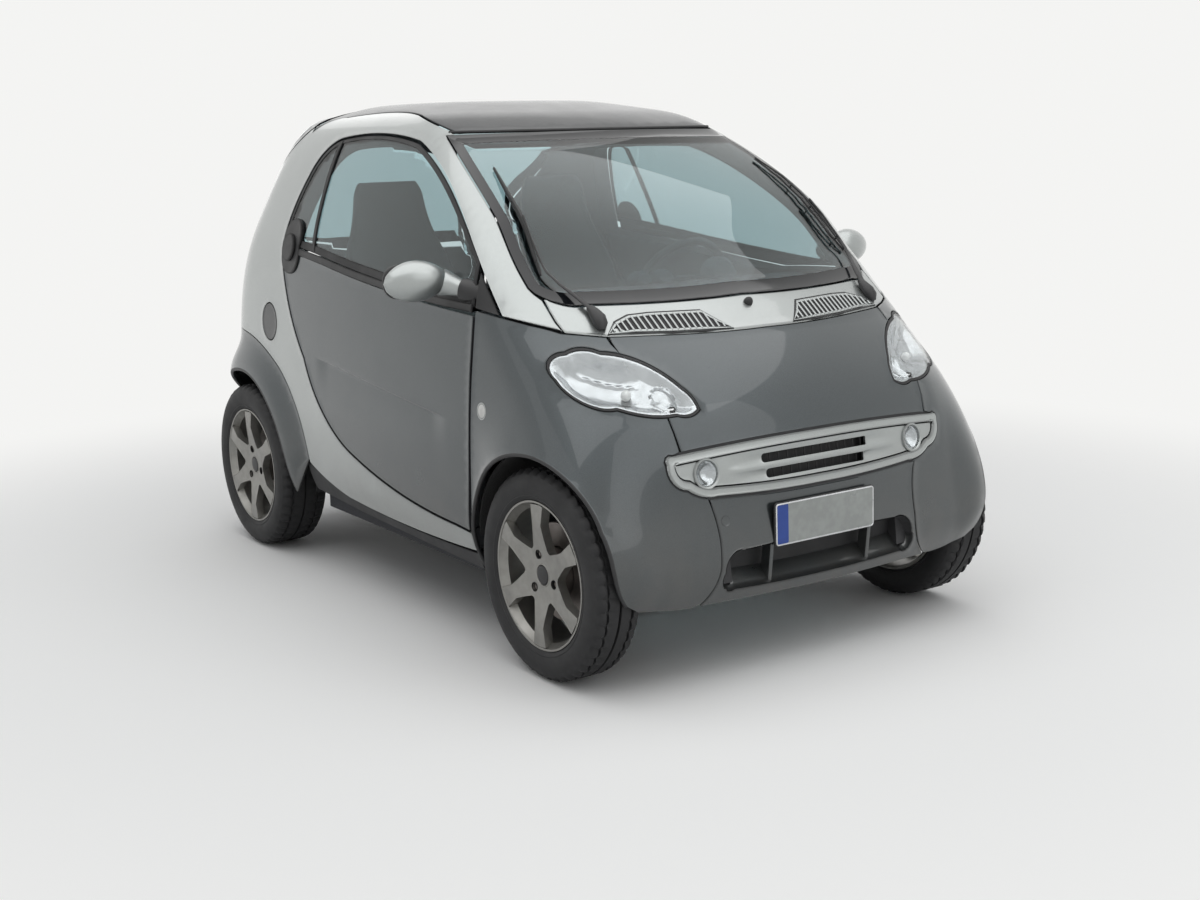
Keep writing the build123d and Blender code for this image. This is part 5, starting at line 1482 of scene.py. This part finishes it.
def cast(name, color, roughness, metallic=0.6):
    """Cast or forged metal with road dirt on it."""
    material, tree, shader = new_material(name)
    wire(tree, shader, {
        "Base Color": effect(tree, "grime", Foot=0.1, Head=0.7, Amount=0.9, Color=flecked(tree, color, 70.0, 1.5, 0.8)),
        "Roughness": effect(tree, "blotch", Scale=22.0, Low=roughness - 0.1, High=roughness + 0.15),
        "Metallic": metallic, "Normal": effect(tree, "pebble", Scale=240.0, Strength=0.5, Distance=0.0006)})
    return material


FELT = carpet("arch_felt", (0.018, 0.018, 0.018, 1))
CARPET = carpet("floor_carpet", (0.035, 0.036, 0.04, 1))
FORGED = cast("forged_steel", (0.05, 0.048, 0.046, 1), 0.5)
BLOCK = cast("cast_alloy", (0.26, 0.26, 0.25, 1), 0.5)
PIPE = cast("exhaust_steel", (0.20, 0.17, 0.15, 1), 0.45, 0.85)
node_finish(FELT, "arch_liners")
node_finish(CARPET, "floor_pan")
node_finish(DARK_MOULDING_AND_SHADE, "front_structure")
node_finish(FORGED, "front_axle", "rear_axle", "knuckle_right", "knuckle_left")
node_finish(BLOCK, "engine_block")
node_finish(PIPE, "exhaust")


# ---------------- seats
def weave(name, color, light):
    """Woven seat cloth with a fine check."""
    material, tree, shader = new_material(name)
    threads = math_node(tree, "MAXIMUM", *(
        place(tree, "ShaderNodeTexWave", {"Vector": here(tree), "Scale": 150.0, "Distortion": 0.6, "Detail": 1.0},
              "Fac", wave_type="BANDS", bands_direction=way) for way in ("Y", "DIAGONAL")))
    tint = effect(tree, "speckle", Scale=260.0, Light=light, Dark=color, Amount=0.8)
    wire(tree, shader, {
        "Base Color": between(tree, math_node(tree, "MULTIPLY", threads, 0.5), color, tint), "Roughness": 0.9,
        "Sheen Weight": 0.35,
        "Normal": place(tree, "ShaderNodeBump", {"Height": threads, "Strength": 0.35, "Distance": 0.0006})})
    return material


CLOTH = weave("seat_cloth", (0.030, 0.033, 0.042, 1), (0.085, 0.09, 0.105, 1))
SIDE_CLOTH = weave("seat_side_cloth", (0.016, 0.017, 0.02, 1), (0.04, 0.042, 0.048, 1))


def pad(spine, widths, depths, seam_rows, bolster=0.22):
    """A crowned closed cushion along a spine in the XZ plane, with sewn channels.

    spine is points (x, z) of its middle; widths and depths are its size at each point.
    """
    spine, rows = np.array(spine, float), 64
    way = np.concatenate([[0], np.cumsum(np.hypot(*np.diff(spine, axis=0).T))])
    at = (0.5 - 0.5 * np.cos(np.pi * np.linspace(0, 1, rows))) * way[-1]
    data = np.column_stack([spine, widths, depths]).astype(float)
    value = spline_at(way, data, natural_spline(way, data), at)
    ahead = unit(np.gradient(value[:, :2], axis=0))
    across = np.stack([-ahead[:, 1], ahead[:, 0]], -1)
    around, points = 72, []
    length = way[-1]
    for row in range(rows):
        tuck = max(min(1.0, min(at[row], length - at[row]) / 42) ** 0.42, 0.02)
        half, deep = value[row, 2] / 2, value[row, 3] / 2
        for k in range(around):
            a = 2 * math.pi * k / around
            c, s = math.cos(a), math.sin(a)
            y = half * math.copysign(abs(c) ** 0.55, c) * (0.86 + 0.14 * tuck)
            d = deep * math.copysign(abs(s) ** 0.62, s) * tuck
            if s > 0:
                side = smooth(0.52, 0.78, abs(y) / half)
                d += bolster * deep * side * (1 - smooth(0.9, 1.0, abs(y) / half)) * tuck
                for channel in seam_rows:
                    d -= 7 * math.exp(-((at[row] / length - channel) * length / 9) ** 2) * (1 - side)
                d -= 8 * math.exp(-((abs(y) / half - 0.56) * half / 8) ** 2) * tuck
            points.append((value[row, 0] + across[row, 0] * d, y, value[row, 1] + across[row, 1] * d))
    faces = band(rows, around)
    marks = [0 if 0.10 < ((f[0] % around) / around) < 0.40 else 1 for f in faces] + [1, 1]
    faces += ends(rows, around)
    return np.array(points), faces, marks


SEAT_Y = -330        # middle of the right-hand seat


def seat():
    """One seat: a cushion and a one-piece back with its head rest."""
    cushion = pad([(86, 447), (0, 452), (-150, 438), (-300, 416), (-392, 402)],
                  [430, 470, 478, 470, 440], [96, 132, 132, 132, 118], (0.30, 0.62))
    back = pad([(-386, 436), (-420, 560), (-455, 760), (-492, 960), (-520, 1100), (-538, 1262)],
               [430, 474, 470, 420, 300, 236], [96, 116, 112, 100, 84, 74], (0.26, 0.50, 0.70, 0.82))
    pieces = []
    for label, (points, faces, marks) in (("cushion", cushion), ("back", back)):
        pieces.append(mesh_piece(f"seat_{label}_right", points + [0, SEAT_Y, 0], faces, [CLOTH, SIDE_CLOTH],
                                 face_material=marks))
    return pieces


def seat_base():
    """Moulded base and slide rails under a seat."""
    outline = [(60, 290), (70, 345), (20, 382), (-330, 358), (-400, 330), (-392, 290)]
    parts = [(*slab(outline, SEAT_Y - 200, SEAT_Y + 200, "xz", 8), 0)]
    for rail in (-165, 165):
        parts.append((*slab([(110, 286), (110, 300), (-430, 300), (-430, 286)], SEAT_Y + rail - 14,
                            SEAT_Y + rail + 14, "xz", 2), 1))
    return joined("seat_base_right", parts, [BLACK_TRIM, FORGED])


for piece in seat():
    for one in (piece, flipped(piece.name.replace("right", "left"), piece)):
        subdivided(one, 1)
        ride(one, "chassis")
both(seat_base(), "chassis")
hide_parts("seats")

# ---------------- dashboard and steering wheel
DASH_TOP = moulded("dashboard_top", (0.05, 0.053, 0.06, 1), roughness=0.7, scale=520.0, strength=0.5)
DASH_FACE = moulded("dashboard_face", (0.13, 0.14, 0.16, 1), roughness=0.6, scale=520.0, strength=0.4)
DIAL = moulded("dial_face", (0.02, 0.022, 0.025, 1), roughness=0.25, scale=900.0, strength=0.05)
profile = [(634, 922), (560, 940), (470, 934), (392, 914), (348, 886), (324, 846), (326, 812), (346, 772), (386, 734),
           (432, 706), (520, 700), (634, 700)]
rows = [(-546, 0.10), (-534, 0.02), *((y, 0) for y in (-490, -300, -120, 0, 120, 300, 490)), (534, 0.02), (546, 0.10)]
profile = np.array(profile, float)
core = np.array([520, 810])
points = np.concatenate([np.column_stack([*(profile + (core - profile) * shrink
                                             + [[-12 * bump(abs(y) - 330, 150), 0]]).T,
                                          np.full(len(profile), y)])[:, [0, 2, 1]] for y, shrink in rows])
count = len(profile)
faces = band(len(rows), count, turned=True)
marks = [1 if 3 <= (f[0] % count) <= 8 else 0 for f in faces] + [0, 0]
faces += [face[::-1] for face in ends(len(rows), count)]
dash = mesh_piece("dashboard_body", points, faces, [DASH_TOP, DASH_FACE], face_material=marks)
subdivided(dash, 2)
ride(dash, "chassis", ["dashboard"])


def pod(name, x, y, z, radius, tilt):
    """A round instrument pod on the dashboard, facing the driver."""
    turn = np.array(Matrix.Rotation(math.radians(-tilt), 3, "Y"))
    parts = []
    for shape, mark in (([(0.01, 42), (radius * 0.75, 40), (radius, 24), (radius + 2, 0), (radius, -8),
                          (radius - 4, -10), (radius - 5, -4)], 0), ([(radius - 4, -3), (0.01, -3)], 1)):
        points, faces = lathe(shape, 40)
        parts.append((points[:, [1, 0, 2]] @ turn.T + [x, y, z], [face[::-1] for face in faces], mark))
    needle = np.array([(-5, -2, -6), (-5, 2, -6), (-5, 1, radius - 10), (-5, -1, radius - 10)]) @ turn.T
    parts.append((needle + [x, y, z], [[0, 1, 2, 3], [3, 2, 1, 0]], 2))
    return joined(name, parts, [DASH_TOP, DIAL, PALE_LENS], sharp=40)


for name, y, radius, z, x in (("instrument_pod", 330, 62, 955, 386), ("clock_pod", -20, 36, 962, 440),
                              ("rev_counter_pod", 62, 36, 962, 440)):
    ride(pod(name, x, y, z, radius, 12), "chassis")
vents = []
for y in (-480, -180, 190, 480):
    for k in range(4):
        x, z = 345 - k * 4, 872 - 12 * k
        vents.append((*tube([(x, y - 38, z), (x, y + 38, z)], 2.6, 8), 0))
    vents.append((*tube([(346 + (z - 854) * 0.28, across, z) for across, z in rounded(96, 60, 14, (y, 854))], 4.2, 8,
                        closed=True), 1))
ride(joined("air_vents", vents, [BLACK_TRIM, DASH_TOP], sharp=50), "chassis")
console = [(392, 700), (372, 742), (352, 700), (300, 560), (262, 420), (262, 292), (560, 292), (560, 700)]
ride(joined("centre_console", [(*slab(console, -66, 66, "xz", 9), 0)], [DASH_FACE]), "chassis")

WHEEL_CENTRE, WHEEL_RADIUS = np.array([190.0, 330.0, 905.0]), 172
TILT = math.radians(25)
axis = np.array([-math.cos(TILT), 0, math.sin(TILT)])
up = np.array([math.sin(TILT), 0, math.cos(TILT)])
side_way = np.array([0, 1.0, 0])


def on_wheel(radius, angle, lift=0.0):
    """A place on the steering wheel's plane."""
    return WHEEL_CENTRE + radius * (side_way * math.cos(angle) + up * math.sin(angle)) + axis * lift


turns = [2 * math.pi * k / 72 for k in range(72)]
grip = np.array([13 + 1.6 * max(0, math.cos(2 * (turn - 0.5))) for turn in turns])
parts = [(*tube([on_wheel(WHEEL_RADIUS, turn) for turn in turns], grip, 16, closed=True), 0)]
for angle in (math.radians(5), math.radians(175), math.radians(270)):
    parts.append((*tube([on_wheel(r, angle, 2 - 14 * (1 - r / WHEEL_RADIUS)) for r in (50, 90, 130, 170)],
                        np.array([20, 14, 11, 12]), 14, flat=0.45), 0))
hub_rows = [(0.01, 18), (40, 16), (62, 8), (68, -6), (60, -22), (30, -30), (0.01, -30)]
points, faces = lathe(hub_rows, 36)
parts.append((np.array([WHEEL_CENTRE + side_way * p[0] + up * p[2] * 0.8 + axis * (p[1] - 12) for p in points]),
              faces, 0))
parts.append((*tube([WHEEL_CENTRE - axis * reach for reach in (26, 90, 150)], np.array([26, 24, 22]), 20), 0))
ride(joined("steering_wheel_rim", parts, [BLACK_TRIM], sharp=50), "steering", ["steering_wheel"])


# ---------------- stage
FLOOR_REACH = 90
FLOOR_NEAR, FLOOR_FAR = 1.8, 3.8      # where the floor fades into the backdrop
BACKDROP = (0.905, 0.905, 0.893, 1)


def shown_light(tree):
    """1 for rays from the camera, off metal or through glass."""
    path = tree.nodes.new("ShaderNodeLightPath")
    glossy = math_node(tree, "MAXIMUM", path.outputs["Is Glossy Ray"], path.outputs["Is Transmission Ray"])
    return math_node(tree, "MAXIMUM", path.outputs["Is Camera Ray"], glossy)


def blend(tree, share, first, second):
    """A shader between two others."""
    return place(tree, "ShaderNodeMixShader", {0: share, 1: first, 2: second})


floor_finish, tree, shader = new_material("pale_floor")
wire(tree, shader, {"Base Color": (0.97, 0.97, 0.96, 1), "Roughness": 0.95, "Specular IOR Level": 0.1})
far = place(tree, "ShaderNodeVectorMath", {"Vector": here(tree)}, "Value", operation="LENGTH")
fade = place(tree, "ShaderNodeMapRange", {"Value": far, "From Min": FLOOR_NEAR, "From Max": FLOOR_FAR},
             interpolation_type="SMOOTHSTEP")
plain = place(tree, "ShaderNodeEmission", {"Color": BACKDROP, "Strength": 1.0})
wire(tree, tree.nodes["Material Output"], {"Surface": blend(
    tree, math_node(tree, "MULTIPLY", fade, shown_light(tree)), shader.outputs[0], plain)})
floor_mesh = bpy.data.meshes.new("floor")
floor_mesh.from_pydata([(x * FLOOR_REACH, y * FLOOR_REACH, 0) for x, y in ((-1, -1), (1, -1), (1, 1), (-1, 1))], [],
                       [(0, 1, 2, 3)])
floor_mesh.materials.append(floor_finish)
floor = added("floor", floor_mesh)

world = bpy.data.worlds.new("studio")
bpy.context.scene.world = world
world.use_nodes = True
tree = world.node_tree
tree.nodes.clear()
light = place(tree, "ShaderNodeBackground", {"Color": (0.96, 0.98, 1.0, 1), "Strength": 0.31})
seen = place(tree, "ShaderNodeBackground", {"Color": BACKDROP, "Strength": 1.0})
wire(tree, tree.nodes.new("ShaderNodeOutputWorld"), {0: blend(tree, shown_light(tree), light, seen)})


def lamp(name, place_at, target, size, power):
    """A soft studio lamp aimed at a point."""
    data = bpy.data.lights.new(name, "AREA")
    data.shape, data.size, data.size_y, data.energy = "RECTANGLE", size[0], size[1], power
    piece = added(name, data)
    piece.location = place_at
    piece.rotation_euler = (Vector(target) - Vector(place_at)).to_track_quat("-Z", "Y").to_euler()


for name, spot, target, size, power in (("top_light", (0.8, -0.3, 6.5), (0, 0, 0.6), (11.0, 9.0), 330),
                                        ("front_light", (6.5, 1.0, 4.2), (0.3, 0, 0.7), (6.5, 4.5), 60),
                                        ("side_light", (0.5, -7.0, 3.4), (0, 0, 0.7), (6.0, 3.0), 16),
                                        ("rear_light", (-6.5, 3.0, 3.6), (-0.3, 0, 0.8), (6.5, 4.5), 40)):
    lamp(name, spot, target, size, power)

camera_data = bpy.data.cameras.new("camera")
SENSOR, WIDTH, HEIGHT = 36, 1200, 900                           # sensor in millimetres, picture in pixels
FOCAL_PIXELS, CENTRE_X, CENTRE_Y = 1541.13, 560.22, 493.22
CAMERA_PLACE = (3.2543 + 0.905, -2.7922, 1.4112)                # metres
YAW, PITCH, ROLL = 2.5542, -0.23, 0.0239                        # radians
camera_data.sensor_fit, camera_data.sensor_width = "HORIZONTAL", SENSOR
camera_data.lens = FOCAL_PIXELS * SENSOR / WIDTH
camera_data.shift_x, camera_data.shift_y = (WIDTH / 2 - CENTRE_X) / WIDTH, (CENTRE_Y - HEIGHT / 2) / WIDTH
forward = Vector((math.cos(PITCH) * math.cos(YAW), math.cos(PITCH) * math.sin(YAW), math.sin(PITCH)))
right = forward.cross(Vector((0, 0, 1))).normalized()
down = forward.cross(right)
right, down = (right * math.cos(ROLL) + down * math.sin(ROLL), down * math.cos(ROLL) - right * math.sin(ROLL))
camera = added("camera", camera_data)
camera.matrix_world = Matrix([(*row, place_at) for row, place_at in zip(zip(right, -down, -forward), CAMERA_PLACE)]
                             + [(0, 0, 0, 1)])
bpy.context.scene.camera = camera
bpy.context.scene.view_settings.view_transform = "Standard"
